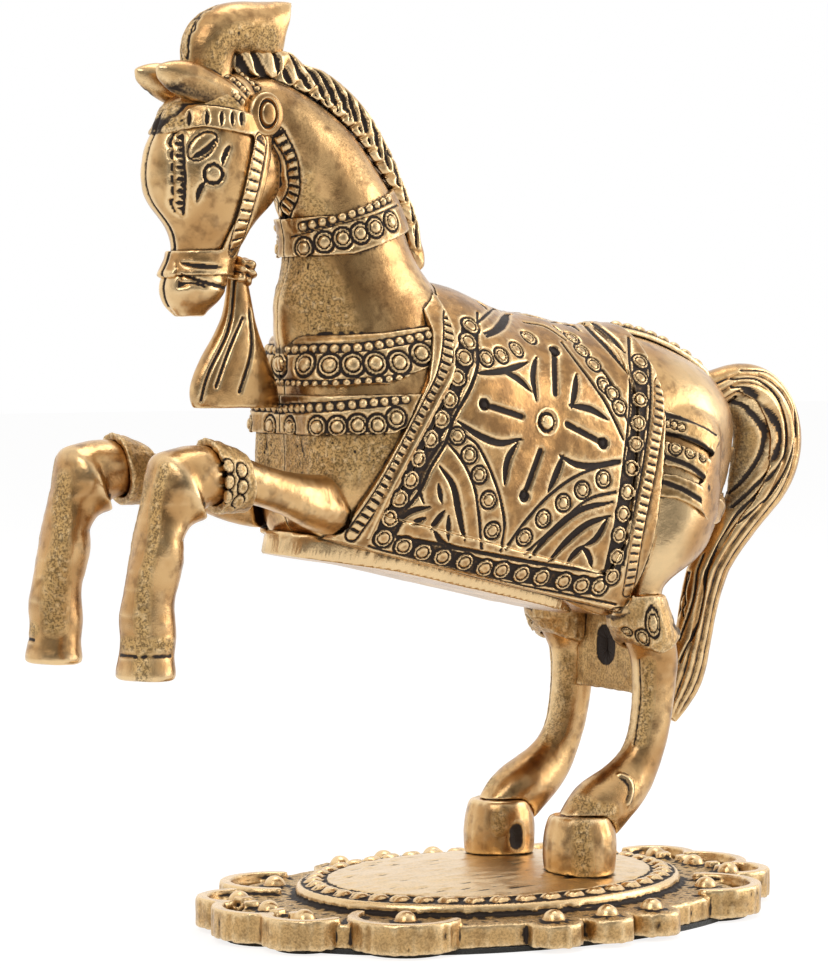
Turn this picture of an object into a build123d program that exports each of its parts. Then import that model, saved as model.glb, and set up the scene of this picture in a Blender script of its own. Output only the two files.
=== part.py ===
"""A rearing parade horse in cast metal, standing on its hind hooves on an oval base with a scrolled skirt.

Millimetres. Z is up, the horse faces -X and its left flank faces -Y.
The origin is under the middle of the base.
"""

from build123d import *
import math
import os

# Base
base_length = 106.0
base_width = 76.0
felt_thickness = 0.8
felt_inset = 2.4
skirt_thickness = 3.8
platform_length = 70.0
platform_width = 54.0
platform_rise = 3.9
rim_rise = 2.2
lobe_radius = 9.4
scroll_width = 1.9
scroll_rise = 1.1
pierced_width = 2.4
leaf_length = 3.4
leaf_width = 1.7
leaf_rise = 0.4

# Hind hooves and the screws that hold them
hoof_x = 10.1
hoof_spread = 24.0
hoof_height = 9.2
hoof_radius = 6.2
screw_radius = 1.5
screw_length = 11.0
screw_head_radius = 2.9
screw_clearance = 0.15

# Hind legs
shank_height = 36.3
shank_reach = 30.0
shank_width = 9.2
bridge_thickness = 2.4
bridge_height = 15.6
bridge_drop = 1.5
bridge_slot_height = 6.8
bridge_slot_width = 5.0

# Barrel
chest_reach = 50.7
barrel_length = 89.5
barrel_depth = 58.0
barrel_width = 35.0
groin_drop = 4.0
shell_wall = 2.4
plate_thickness = 1.6
plate_proud = 0.2
plate_width = 21.0
thigh_reach = 30.0
thigh_height = 38.0
thigh_width = 16.0
thigh_spread = 23.0

# Neck, head and what stands on them
neck_length = 50.0
neck_height = 50.0
neck_width = 26.0
head_length = 25.0
head_height = 40.0
head_width = 15.2
plume_length = 22.0
plume_height = 12.0
plume_width = 8.6
ear_length = 15.5
ear_height = 5.4
ear_thickness = 4.6
ear_spread = 7.0
mane_length = 45.0
mane_height = 40.0
mane_width = 5.4
tassel_height = 20.0
tassel_length = 15.0
tassel_width = 6.0

# Forelegs
arm_spread = 31.0
foreleg_length = 46.0
foreleg_height = 36.0
foreleg_width = 9.4
kneelet_rise = 0.9

# Tail
tail_length = 31.0
tail_height = 65.0
tail_width = 7.2

# Dress
cloth_rise = 0.8
border_rise = 1.3
strap_rise = 0.9

# Heights and places that follow from these sizes
platform_top = felt_thickness + skirt_thickness + platform_rise
hoof_top = platform_top + hoof_height
thigh_z = hoof_top + shank_height
barrel_x = hoof_x - chest_reach
barrel_z = thigh_z - groin_drop
overrun = barrel_width
knee_row = 5
bridge_place_share = 0.78


def at(place, size, share):
    """Gives the point at a share (x, z) of an upright box of that size, from its lowest front corner."""
    return (place[0] + size[0] * share[0], place[1] + size[1] * share[1])


barrel_place = (barrel_x, barrel_z)
barrel_size = (barrel_length, barrel_depth)
leg_place = (hoof_x - shank_reach * 0.27, hoof_top)
leg_size = (shank_reach, shank_height)
neck_place = at(barrel_place, barrel_size, (-0.08, 0.69))
neck_size = (neck_length, neck_height)
head_place = at(neck_place, neck_size, (-0.36, 0.20))
head_size = (head_length, head_height)
plume_place = at(head_place, head_size, (0.24, 1.0))
plume_size = (plume_length, plume_height)
mane_place = at(neck_place, neck_size, (-0.10, 0.30))
mane_size = (mane_length, mane_height)
ear_place = at(head_place, head_size, (-0.01, 0.89))
ear_size = (ear_length, ear_height)
tail_place = at(barrel_place, barrel_size, (0.866, -0.36))
tail_size = (tail_length, tail_height)
foreleg_place = at(barrel_place, barrel_size, (-0.431, -0.08))
foreleg_size = (foreleg_length, foreleg_height)
tassel_place = at(head_place, head_size, (0.29, -0.34))
tassel_size = (tassel_length, tassel_height)
thigh_place = at(barrel_place, barrel_size, (0.637, 0.068))
thigh_size = (thigh_reach, thigh_height)

# Barrel sections: how far back, low edge, high edge, half width, half width of the flat underside
barrel_shares = [
    (0.000, 0.40, 0.74, 0.34, 0.20),
    (0.012, 0.29, 0.82, 0.62, 0.40),
    (0.050, 0.255, 0.90, 0.78, 0.55),
    (0.136, 0.22, 0.955, 0.90, 0.66),
    (0.245, 0.178, 0.975, 0.97, 0.70),
    (0.375, 0.127, 0.945, 1.00, 0.72),
    (0.527, 0.070, 0.883, 0.99, 0.72),
    (0.679, 0.030, 0.850, 0.96, 0.62),
    (0.799, 0.130, 0.825, 0.92, 0.45),
    (0.890, 0.230, 0.770, 0.80, 0.30),
    (0.950, 0.320, 0.705, 0.60, 0.20),
    (0.985, 0.400, 0.630, 0.38, 0.14),
    (1.000, 0.470, 0.560, 0.16, 0.06),
]

# Points of the barrel's flank: half width and height, from the underside to the back
flank_shares = [(0.97, 0.20), (1.0, 0.46), (0.74, 0.83)]

# Rows of (front x, front z, back x, back z, half width), as shares of each limb's box and width
neck_shares = [
    (0.16, -0.12, 0.90, 0.08, 1.00),
    (0.16, 0.02, 0.78, 0.22, 0.94),
    (0.16, 0.16, 0.67, 0.35, 0.85),
    (0.16, 0.30, 0.60, 0.46, 0.74),
    (0.16, 0.44, 0.55, 0.59, 0.65),
    (0.14, 0.56, 0.47, 0.72, 0.59),
    (0.06, 0.67, 0.38, 0.83, 0.54),
    (0.00, 0.77, 0.24, 0.93, 0.50),
    (-0.06, 0.84, 0.07, 1.00, 0.38),
    (-0.14, 0.88, -0.08, 1.00, 0.25),
]
head_shares = [
    (0.40, 0.985, 0.70, 1.01, 0.42),
    (0.30, 0.93, 0.76, 0.96, 0.68),
    (0.15, 0.83, 0.82, 0.86, 0.86),
    (0.05, 0.70, 0.88, 0.69, 0.98),
    (0.02, 0.575, 0.87, 0.54, 1.00),
    (0.09, 0.46, 0.76, 0.41, 0.89),
    (0.18, 0.365, 0.64, 0.325, 0.71),
    (0.19, 0.275, 0.58, 0.25, 0.58),
    (0.145, 0.19, 0.56, 0.17, 0.62),
    (0.150, 0.10, 0.49, 0.09, 0.50),
    (0.215, 0.04, 0.41, 0.035, 0.26),
]
plume_shares = [
    (0.02, -0.06, 0.40, -0.04, 0.84),
    (0.03, 0.30, 0.42, 0.18, 0.95),
    (0.10, 0.66, 0.46, 0.34, 1.00),
    (0.27, 0.89, 0.54, 0.38, 1.00),
    (0.48, 0.98, 0.64, 0.36, 0.94),
    (0.72, 1.00, 0.78, 0.38, 0.78),
    (0.95, 1.01, 0.86, 0.48, 0.46),
]
mane_shares = [
    (0.03, 0.965, 0.07, 0.84, 0.80),
    (0.355, 0.925, 0.30, 0.74, 1.00),
    (0.49, 0.85, 0.41, 0.66, 1.00),
    (0.61, 0.725, 0.51, 0.575, 1.00),
    (0.71, 0.555, 0.60, 0.445, 1.00),
    (0.785, 0.385, 0.68, 0.31, 1.00),
    (0.870, 0.12, 0.78, 0.06, 0.80),
]
tail_shares = [
    (0.26, 0.965, 0.34, 0.84, 0.80),
    (0.48, 0.985, 0.49, 0.885, 0.88),
    (0.72, 0.97, 0.59, 0.86, 0.95),
    (0.89, 0.90, 0.63, 0.825, 1.00),
    (0.97, 0.79, 0.63, 0.777, 1.00),
    (0.91, 0.665, 0.59, 0.69, 0.95),
    (0.735, 0.56, 0.47, 0.60, 0.88),
    (0.55, 0.446, 0.30, 0.49, 0.82),
    (0.43, 0.31, 0.20, 0.345, 0.76),
    (0.355, 0.165, 0.13, 0.20, 0.66),
    (0.23, 0.07, 0.05, 0.10, 0.48),
    (0.09, 0.015, 0.03, 0.035, 0.20),
]
foreleg_shares = [
    (1.02, 0.850, 1.02, 0.570, 0.90, 0.55),
    (0.84, 0.860, 0.85, 0.600, 0.86, 0.78),
    (0.66, 0.885, 0.68, 0.680, 0.78, 0.93),
    (0.50, 0.945, 0.52, 0.745, 0.74, 0.99),
    (0.34, 1.000, 0.38, 0.740, 0.98),
    (0.20, 0.985, 0.325, 0.700, 1.08),
    (0.13, 0.850, 0.305, 0.665, 1.06),
    (0.10, 0.700, 0.275, 0.590, 1.00),
    (0.068, 0.500, 0.232, 0.430, 0.94),
    (0.045, 0.330, 0.202, 0.280, 0.84),
    (0.030, 0.235, 0.205, 0.195, 0.88),
    (0.024, 0.160, 0.200, 0.135, 0.88),
    (0.010, 0.085, 0.198, 0.068, 0.94),
    (-0.004, 0.010, 0.196, 0.000, 1.00),
]
thigh_shares = [
    (0.30, 0.98, 0.66, 0.94, 0.34, 0.80),
    (0.16, 0.82, 0.82, 0.74, 0.74, 0.88),
    (0.10, 0.62, 0.86, 0.50, 0.94, 0.94),
    (0.10, 0.42, 0.78, 0.28, 0.96, 0.97),
    (0.13, 0.22, 0.62, 0.14, 0.82, 1.00),
    (0.15, 0.08, 0.46, 0.04, 0.56, 1.00),
    (0.15, 0.00, 0.44, 0.00, 0.53, 1.00),
]
shank_shares = [
    (0.520, 1.000, 0.830, 1.000, 1.00),
    (0.530, 0.870, 0.920, 0.860, 1.12),
    (0.650, 0.700, 0.935, 0.690, 0.84),
    (0.655, 0.520, 0.905, 0.500, 0.72),
    (0.620, 0.350, 0.860, 0.320, 0.70),
    (0.520, 0.240, 0.790, 0.160, 0.74),
    (0.345, 0.160, 0.680, 0.030, 0.96),
    (0.210, 0.070, 0.560, -0.060, 1.02),
    (0.120, -0.020, 0.470, -0.120, 0.98),
]
kneelet_shares = [
    (0.330, 1.010, 0.372, 0.730, 0.99),
    (0.415, 0.985, 0.445, 0.730, 0.88),
    (0.500, 0.950, 0.520, 0.735, 0.78),
]
hock_band_shares = [
    (0.515, 0.950, 0.880, 0.940, 1.08),
    (0.530, 0.870, 0.920, 0.860, 1.14),
    (0.575, 0.790, 0.935, 0.780, 1.02),
]
tassel_shares = [
    (0.50, 0.985, 0.69, 0.995, 0.42),
    (0.42, 0.730, 0.81, 0.760, 0.66),
    (0.23, 0.480, 0.92, 0.525, 0.86),
    (0.04, 0.140, 1.10, 0.175, 1.00),
    (0.08, 0.020, 1.12, 0.010, 1.00),
]
ear_shares = [
    (0.00, 0.62, 0.02, 0.48, 0.20),
    (0.14, 0.86, 0.18, 0.20, 0.80),
    (0.38, 1.00, 0.44, 0.02, 1.00),
    (0.64, 0.86, 0.70, 0.00, 1.00),
    (0.88, 0.54, 0.90, 0.06, 0.80),
    (1.00, 0.34, 1.00, 0.14, 0.40),
]
# Dome sections above the rim: height and reach
dome_shares = [(-0.05, 0.88), (0.22, 0.84), (0.55, 0.66), (0.80, 0.46), (0.95, 0.26), (1.0, 0.10)]
# Lobes in a quarter of the skirt: the turn, as a share of a quarter turn, and the radius
lobe_shares = [(0.0, 1.0), (0.22, 0.76), (0.51, 1.0), (0.87, 0.50), (1.0, 0.46)]
large_lobe_share = 0.7
lobe_overlap_share = 0.5
scroll_turn_share = 0.53
pierced_turn_share = 0.33
# Ring of leaves inside the platform's rim
leaf_ring_share = 0.905
leaves = 44
# Hoof sections: height and radius
hoof_shares = [(-0.17, 0.93), (0.0, 0.97), (0.25, 1.0), (0.50, 1.0), (0.75, 0.95), (1.0, 0.80)]
# Grooves between the strands of the tail: their places across it, their width and their depth
strand_shares = (0.26, 0.50, 0.74)
strand_width_share = 0.13
strand_depth_share = 0.10
# Grooves between the locks of the mane: how far one runs along it and across it, its width and its depth
locks = 15
lock_run_share = 0.10
lock_reach_shares = (0.04, 0.96)
lock_width_share = 0.013
lock_depth_share = 0.17

# Outlines of the dress on the flank, as shares of the barrel's box
cloth_shares = [
    (0.215, 1.20), (0.225, 0.850), (0.195, 0.710), (0.122, 0.520), (0.022, 0.270),
    (0.10, 0.235), (0.645, 0.026), (0.690, 0.24), (0.713, 0.441), (0.735, 0.645), (0.728, 1.20),
]
field_shares = [
    (0.268, 1.30), (0.270, 0.850), (0.240, 0.690), (0.168, 0.490), (0.105, 0.335),
    (0.590, 0.145), (0.626, 0.24), (0.649, 0.441), (0.671, 0.645), (0.664, 1.30),
]
upper_collar_shares = [
    (-0.10, 0.690), (-0.10, 0.825), (0.12, 0.840), (0.26, 0.865), (0.26, 0.780), (0.12, 0.700),
]
lower_collar_shares = [(-0.10, 0.557), (-0.10, 0.667), (0.20, 0.672), (0.18, 0.600), (0.12, 0.563)]
# Breeching: its low and high edge from front to tail, and the part of its height that each strap takes
breeching_low_shares = [(0.700, 0.365), (0.737, 0.360), (0.900, 0.270), (1.050, 0.330)]
breeching_high_shares = [(0.700, 0.625), (0.747, 0.610), (0.885, 0.525), (1.050, 0.480)]
breeching_strap_shares = [(0.00, 0.27), (0.36, 0.64), (0.73, 1.00)]
crupper_shares = (0.715, 0.955, 0.15)
# Outlines on the neck and the head, as shares of their boxes
neck_collar_shares = [
    (0.00, 0.41), (0.00, 0.53), (0.25, 0.555), (0.50, 0.64), (0.62, 0.69), (0.62, 0.53), (0.30, 0.43),
]
bridle_shares = [
    [(0.64, 0.80), (0.82, 0.80), (0.57, 0.24), (0.41, 0.24)],
    [
        (-0.1, 0.74), (-0.1, 0.86), (0.27, 0.87), (0.60, 0.84),
        (0.80, 0.87), (0.85, 0.77), (0.60, 0.75), (0.27, 0.78),
    ],
    [(-0.1, 0.195), (-0.1, 0.29), (0.75, 0.305), (0.75, 0.20)],
]


def oval(place, size, width, row, y=0.0, grow=0.0):
    """Draws one limb section: an oval whose long axis runs from the row's front point to its back point.

    A sixth share, where a row has one, draws the section in towards the middle plane."""
    front = Vector(*at(place, size, row[:2]))
    back = Vector(*at(place, size, row[2:4]))
    span = back - front
    middle = (front + back) * 0.5
    inward_share = row[5] if len(row) > 5 else 1.0
    plane = Plane(
        origin=(middle.X, y * inward_share, middle.Y),
        x_dir=(span.X, 0, span.Y),
        z_dir=(-span.Y, 0, span.X),
    )
    deep = span.length / 2 + grow
    wide = width / 2 * row[4] + grow
    with BuildSketch(plane) as section:
        Ellipse(deep, wide)
    return section.sketch


def limb(place, size, width, rows, y=0.0, grow=0.0, mode=Mode.ADD):
    """Lofts the limb through all its sections. Each section is deeper than it is wide."""
    loft([oval(place, size, width, row, y, grow) for row in rows], mode=mode)


def barrel(rows, grow=0.0):
    """Lofts the barrel through upright sections with a rounded back and a flat underside."""
    sections = []
    for back_share, low_share, high_share, half_share, flat_share in rows:
        x = barrel_x - grow + (barrel_length + 2 * grow) * back_share
        low = barrel_z + barrel_depth * low_share - grow
        high = barrel_z + barrel_depth * high_share + grow
        rise = high - low
        half = barrel_width / 2 * half_share + grow
        flat = barrel_width / 2 * flat_share + grow
        side = [(flat, low)] + [(half * across, low + rise * up) for across, up in flank_shares]
        other_side = [(-across, up) for across, up in reversed(side)]
        with BuildSketch(Plane(origin=(x, 0, 0), x_dir=(0, 1, 0), z_dir=(1, 0, 0))) as section:
            with BuildLine():
                Spline(*side, (0, high), *other_side)
                Line(other_side[-1], side[0])
            make_face()
        sections.append(section.sketch)
    loft(sections)


def along_rows(rows, along_share, across_share):
    """Gives the share (x, z) of a point that lies along and across a limb's rows."""
    place = along_share * (len(rows) - 1)
    index = min(int(place), len(rows) - 2)
    part_share = place - index
    near, far = rows[index], rows[index + 1]
    row = [a + (b - a) * part_share for a, b in zip(near, far)]
    return (row[0] + (row[2] - row[0]) * across_share, row[1] + (row[3] - row[1]) * across_share)


def strand(rows, across_share, side):
    """Gives the rows of a thin round that runs along one side of a limb, to cut a groove there."""
    strand_rows = []
    for row in rows:
        start = across_share - strand_width_share / 2
        end = across_share + strand_width_share / 2
        drawn_in = row[4] * math.sqrt(1 - (2 * across_share - 1) ** 2)
        strand_rows.append((
            row[0] + (row[2] - row[0]) * start,
            row[1] + (row[3] - row[1]) * start,
            row[0] + (row[2] - row[0]) * end,
            row[1] + (row[3] - row[1]) * end,
            strand_depth_share,
            drawn_in * side,
        ))
    return strand_rows


def outline(place, size, outlines, cut=None):
    """Keeps what lies inside outlines drawn on the left flank, and outside the one that is cut."""
    with BuildSketch(Plane.XZ) as shape:
        for shares in outlines:
            with BuildLine():
                Polyline(*[at(place, size, share) for share in shares], close=True)
            make_face()
        if cut:
            with BuildLine():
                Polyline(*[at(place, size, share) for share in cut], close=True)
            make_face(mode=Mode.SUBTRACT)
    extrude(shape.sketch, amount=overrun, mode=Mode.INTERSECT)


def between(low, high, share):
    """Gives the points that lie at a share of the way from one line of points to another."""
    return [(a[0] + (b[0] - a[0]) * share, a[1] + (b[1] - a[1]) * share) for a, b in zip(low, high)]


def save(name, part):
    """Labels a finished piece and writes it."""
    part.label = name
    export_step(part, f"parts/{name}.step")


def save_pair(name, part):
    """Writes the left piece and its mirror image on the right."""
    save(f"{name}_left", part)
    save(f"{name}_right", mirror(part, about=Plane.XZ, mode=Mode.PRIVATE))


os.makedirs("parts", exist_ok=True)
hoof_places = [(hoof_x, -hoof_spread / 2), (hoof_x, hoof_spread / 2)]

# Underside line of the belly, from the chest to the groin
belly_front = at(barrel_place, barrel_size, (0.012, 0.27))
belly_back = at(barrel_place, barrel_size, (0.64, 0.042))
belly_middle = ((belly_front[0] + belly_back[0]) / 2, (belly_front[1] + belly_back[1]) / 2)
belly_run = belly_back[0] - belly_front[0]
belly_fall = belly_back[1] - belly_front[1]
belly_plane = Plane(
    origin=(belly_middle[0], 0, belly_middle[1]),
    x_dir=(belly_run, 0, belly_fall),
    z_dir=(-belly_fall, 0, belly_run),
)
plate_length = math.hypot(belly_run, belly_fall) * 0.94

# Body casting: one form, hollowed in the barrel and parted on the middle plane
flank_y = -thigh_spread / 2
with BuildPart() as trunk:
    barrel(barrel_shares)
with BuildPart() as body:
    add(trunk.part)
    limb(neck_place, neck_size, neck_width, neck_shares)
    limb(head_place, head_size, head_width, head_shares)
    limb(thigh_place, thigh_size, thigh_width, thigh_shares, y=flank_y)
    split(bisect_by=Plane.XZ, keep=Keep.TOP)

# Belly plate: a round-ended plate let into the underside
with BuildPart() as belly_plate:
    with BuildSketch(belly_plane.offset(-plate_proud)) as plate_sketch:
        SlotOverall(plate_length, plate_width)
    extrude(amount=plate_thickness + plate_proud)
save("belly_plate", belly_plate.part)

with BuildPart() as body_half:
    add(body.part)
    with BuildPart(mode=Mode.PRIVATE) as cavity:
        barrel(barrel_shares[2:10], grow=-shell_wall)
    add(cavity.part, mode=Mode.SUBTRACT)
    add(belly_plate.part, mode=Mode.SUBTRACT)
save_pair("body_half", body_half.part)

# Base: a skirt of scrolled and pierced lobes under a domed oval platform with a ring of leaves
skirt_top = felt_thickness + skirt_thickness


def ring_of_places(long_radius, cross_radius, count):
    """Gives places round an oval, each turned to lie along it."""
    places = []
    for step in range(count):
        turn = 2 * math.pi * step / count
        x = long_radius * math.cos(turn)
        y = cross_radius * math.sin(turn)
        tangent = math.degrees(math.atan2(x * cross_radius, -y * long_radius ** 2 / cross_radius))
        places.append(Location((x, y, 0), (0, 0, tangent)))
    return places


def skirt_lobes():
    """Gives the middle and radius of each lobe of the skirt, alike in all four quarters."""
    lobes = set()
    for turn_share, radius_share in lobe_shares:
        radius = lobe_radius * radius_share
        turn = math.pi / 2 * turn_share
        x = (base_length / 2 - radius) * math.cos(turn) if turn_share < 1 else 0.0
        y = (base_width / 2 - radius) * math.sin(turn)
        for side_x in (-1, 1):
            for side_y in (-1, 1):
                lobes.add((x * side_x + 0.0, y * side_y + 0.0, radius))
    return sorted(lobes)


def curls(lobes, z, inset, width, turn_share):
    """Draws a round-ended curl inside the outer edge of each lobe."""
    with BuildSketch(Plane.XY.offset(z)) as section:
        for x, y, radius in lobes:
            outward = math.degrees(math.atan2(y, x))
            turn = 360 * turn_share
            middle_radius = radius - inset - width / 2
            arc = CenterArc((x, y), middle_radius, outward - turn / 2, turn, mode=Mode.PRIVATE)
            SlotArc(arc, width)
    return section.sketch


lobes = skirt_lobes()
large_lobes = [lobe for lobe in lobes if lobe[2] > lobe_radius * large_lobe_share]
leaf_reach = (platform_length / 2 * leaf_ring_share, platform_width / 2 * leaf_ring_share)
leaf_places = ring_of_places(*leaf_reach, leaves)
lobe_overlap = lobe_radius * lobe_overlap_share
skirt_reach = (base_length / 2 - lobe_overlap, base_width / 2 - lobe_overlap)
with BuildPart() as base:
    with BuildSketch(Plane.XY.offset(skirt_top)):
        Ellipse(platform_length / 2, platform_width / 2)
    extrude(amount=rim_rise)
    fillet(base.edges().group_by(Axis.Z)[-1], radius=rim_rise * 0.6)
    with BuildSketch(Plane.XY.offset(felt_thickness)):
        Ellipse(*skirt_reach)
        for x, y, radius in lobes:
            with Locations((x, y)):
                Circle(radius)
    extrude(amount=skirt_thickness)
    rims = curls(large_lobes, skirt_top, 0, scroll_width, scroll_turn_share)
    extrude(rims, amount=scroll_rise)
    piercings = curls(large_lobes, felt_thickness, scroll_width * 1.2, pierced_width, pierced_turn_share)
    extrude(piercings, amount=skirt_thickness + scroll_rise, mode=Mode.SUBTRACT)
    dome_sections = []
    for rise_share, reach_share in dome_shares:
        dome_z = skirt_top + rim_rise + (platform_rise - rim_rise) * rise_share
        with BuildSketch(Plane.XY.offset(dome_z)) as dome_section:
            Ellipse(platform_length / 2 * reach_share, platform_width / 2 * reach_share)
        dome_sections.append(dome_section.sketch)
    loft(dome_sections, ruled=True)
    with BuildSketch(Plane.XY.offset(skirt_top)) as leaf_ring:
        with Locations(*leaf_places):
            Ellipse(leaf_length / 2, leaf_width / 2)
    extrude(leaf_ring.sketch, amount=rim_rise + leaf_rise)
    with Locations(*[(x, y, skirt_top) for x, y, radius in lobes]):
        Sphere(scroll_width)
    with Locations(*[Plane(origin=(x, y, felt_thickness), z_dir=(0, 0, -1)) for x, y in hoof_places]):
        CounterSinkHole(
            radius=screw_radius + screw_clearance,
            counter_sink_radius=screw_head_radius + screw_clearance,
            counter_sink_angle=90,
        )
save("base", base.part)

with BuildPart() as felt_pad:
    with BuildSketch():
        Ellipse(*skirt_reach)
        for x, y, radius in large_lobes:
            with Locations((x, y)):
                Circle(radius - felt_inset)
    extrude(amount=felt_thickness)
save("felt_pad", felt_pad.part)

with BuildPart() as hoof_screws:
    for x, y in hoof_places:
        with BuildSketch(Plane(origin=(x, y, 0), x_dir=(1, 0, 0), z_dir=(0, -1, 0))) as turned:
            with BuildLine():
                Polyline(
                    (0, felt_thickness + screw_clearance),
                    (screw_head_radius, felt_thickness + screw_clearance),
                    (screw_radius, felt_thickness + screw_clearance + screw_head_radius - screw_radius),
                    (screw_radius, felt_thickness + screw_length),
                    (0, felt_thickness + screw_length),
                    close=True,
                )
            make_face()
        revolve(turned.sketch, axis=Axis((x, y, 0), (0, 0, 1)))
save("hoof_screws", hoof_screws.part)

# Mane and forelock, on the middle plane
with BuildPart() as mane:
    limb(mane_place, mane_size, mane_width, mane_shares)
    limb(neck_place, neck_size, neck_width, neck_shares, mode=Mode.SUBTRACT)
    limb(head_place, head_size, head_width, head_shares, mode=Mode.SUBTRACT)
    add(trunk.part, mode=Mode.SUBTRACT)
    with BuildSketch(Plane.XZ) as lock_lines:
        for step in range(locks):
            start_share = (1 - lock_run_share) * (step + 0.5) / locks
            corners = (
                (start_share, lock_reach_shares[1]),
                (start_share + lock_width_share, lock_reach_shares[1]),
                (start_share + lock_width_share + lock_run_share, lock_reach_shares[0]),
                (start_share + lock_run_share, lock_reach_shares[0]),
            )
            with BuildLine():
                places = [along_rows(mane_shares, *corner) for corner in corners]
                Polyline(*[at(mane_place, mane_size, place) for place in places], close=True)
            make_face()
    groove_floor = mane_width * (0.5 - lock_depth_share)
    grooves = extrude(
        lock_lines.sketch.moved(Location((0, -groove_floor, 0))),
        amount=mane_width,
        mode=Mode.PRIVATE,
    )
    add(grooves, mode=Mode.SUBTRACT)
    add(mirror(grooves, about=Plane.XZ, mode=Mode.PRIVATE), mode=Mode.SUBTRACT)
save("mane", mane.part)

with BuildPart() as plume:
    limb(plume_place, plume_size, plume_width, plume_shares)
    limb(head_place, head_size, head_width, head_shares, mode=Mode.SUBTRACT)
    add(mane.part, mode=Mode.SUBTRACT)
save("forelock_plume", plume.part)

# Pieces of the left side, which the right side mirrors
with BuildPart() as foreleg:
    limb(foreleg_place, foreleg_size, foreleg_width, foreleg_shares[:knee_row + 1], y=-arm_spread / 2)
    limb(foreleg_place, foreleg_size, foreleg_width, foreleg_shares[knee_row:], y=-arm_spread / 2)
    add(body.part, mode=Mode.SUBTRACT)
save_pair("foreleg", foreleg.part)

with BuildPart() as kneelet:
    limb(foreleg_place, foreleg_size, foreleg_width, kneelet_shares, y=-arm_spread / 2, grow=kneelet_rise)
    add(foreleg.part, mode=Mode.SUBTRACT)
save_pair("kneelet", kneelet.part)

with BuildPart() as hoof:
    hoof_sections = []
    for rise_share, radius_share in hoof_shares:
        hoof_plane = Plane(origin=(hoof_x, -hoof_spread / 2, platform_top + hoof_height * rise_share))
        with BuildSketch(hoof_plane) as hoof_section:
            Circle(hoof_radius * radius_share)
        hoof_sections.append(hoof_section.sketch)
    loft(hoof_sections)
    add(base.part, mode=Mode.SUBTRACT)
    with Locations((hoof_x, -hoof_spread / 2, 0)):
        Cylinder(
            screw_radius + screw_clearance,
            felt_thickness + screw_length + 2 * screw_clearance,
            align=(Align.CENTER, Align.CENTER, Align.MIN),
            mode=Mode.SUBTRACT,
        )
save_pair("hind_hoof", hoof.part)

with BuildPart() as shank:
    limb(leg_place, leg_size, shank_width, shank_shares, y=-hoof_spread / 2)
    add(hoof.part, mode=Mode.SUBTRACT)
    add(body.part, mode=Mode.SUBTRACT)
save_pair("hind_leg", shank.part)

with BuildPart() as hock_band:
    limb(leg_place, leg_size, shank_width, hock_band_shares, y=-hoof_spread / 2, grow=kneelet_rise)
    add(shank.part, mode=Mode.SUBTRACT)
    add(body.part, mode=Mode.SUBTRACT)
save_pair("hock_band", hock_band.part)

with BuildPart() as ear:
    limb(ear_place, ear_size, ear_thickness, ear_shares, y=-ear_spread / 2)
    add(body.part, mode=Mode.SUBTRACT)
    add(plume.part, mode=Mode.SUBTRACT)
save_pair("ear", ear.part)

with BuildPart() as cloth:
    barrel(barrel_shares, grow=cloth_rise)
    outline(barrel_place, barrel_size, [field_shares])
    add(body.part, mode=Mode.SUBTRACT)
save_pair("saddle_cloth", cloth.part)

with BuildPart() as cloth_border:
    barrel(barrel_shares, grow=border_rise)
    outline(barrel_place, barrel_size, [cloth_shares], cut=field_shares)
    add(body.part, mode=Mode.SUBTRACT)
    add(belly_plate.part, mode=Mode.SUBTRACT)
    add(foreleg.part, mode=Mode.SUBTRACT)
    add(mane.part, mode=Mode.SUBTRACT)
save_pair("cloth_border", cloth_border.part)

with BuildPart() as upper_collar:
    barrel(barrel_shares, grow=strap_rise)
    limb(neck_place, neck_size, neck_width, neck_shares, grow=strap_rise)
    outline(barrel_place, barrel_size, [upper_collar_shares], cut=cloth_shares)
    add(body.part, mode=Mode.SUBTRACT)
save_pair("upper_breast_collar", upper_collar.part)

with BuildPart() as lower_collar:
    barrel(barrel_shares, grow=strap_rise)
    outline(barrel_place, barrel_size, [lower_collar_shares], cut=cloth_shares)
    add(body.part, mode=Mode.SUBTRACT)
save_pair("lower_breast_collar", lower_collar.part)

with BuildPart() as neck_collar:
    limb(neck_place, neck_size, neck_width, neck_shares, grow=strap_rise)
    outline(neck_place, neck_size, [neck_collar_shares])
    add(body.part, mode=Mode.SUBTRACT)
    add(mane.part, mode=Mode.SUBTRACT)
save_pair("neck_collar", neck_collar.part)

with BuildPart() as bridle:
    limb(head_place, head_size, head_width, head_shares, grow=strap_rise)
    outline(head_place, head_size, bridle_shares)
    add(body.part, mode=Mode.SUBTRACT)
    add(ear.part, mode=Mode.SUBTRACT)
save_pair("bridle", bridle.part)

straps = []
for start_share, end_share in breeching_strap_shares:
    low_edge = between(breeching_low_shares, breeching_high_shares, start_share)
    high_edge = between(breeching_low_shares, breeching_high_shares, end_share)
    straps.append(low_edge + high_edge[::-1])
with BuildPart() as breeching:
    barrel(barrel_shares, grow=strap_rise)
    limb(thigh_place, thigh_size, thigh_width, thigh_shares, y=flank_y, grow=strap_rise)
    outline(barrel_place, barrel_size, straps, cut=cloth_shares)
    add(body.part, mode=Mode.SUBTRACT)
save_pair("breeching", breeching.part)

# Pieces on the middle plane
with BuildPart() as tail:
    limb(tail_place, tail_size, tail_width, tail_shares)
    for across_share in strand_shares:
        for side in (-1, 1):
            strand_rows = strand(tail_shares, across_share, side)
            limb(tail_place, tail_size, tail_width, strand_rows, y=tail_width / 2, mode=Mode.SUBTRACT)
    add(trunk.part, mode=Mode.SUBTRACT)
    for dress in (breeching.part, mirror(breeching.part, about=Plane.XZ, mode=Mode.PRIVATE)):
        add(dress, mode=Mode.SUBTRACT)
save("tail", tail.part)

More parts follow.
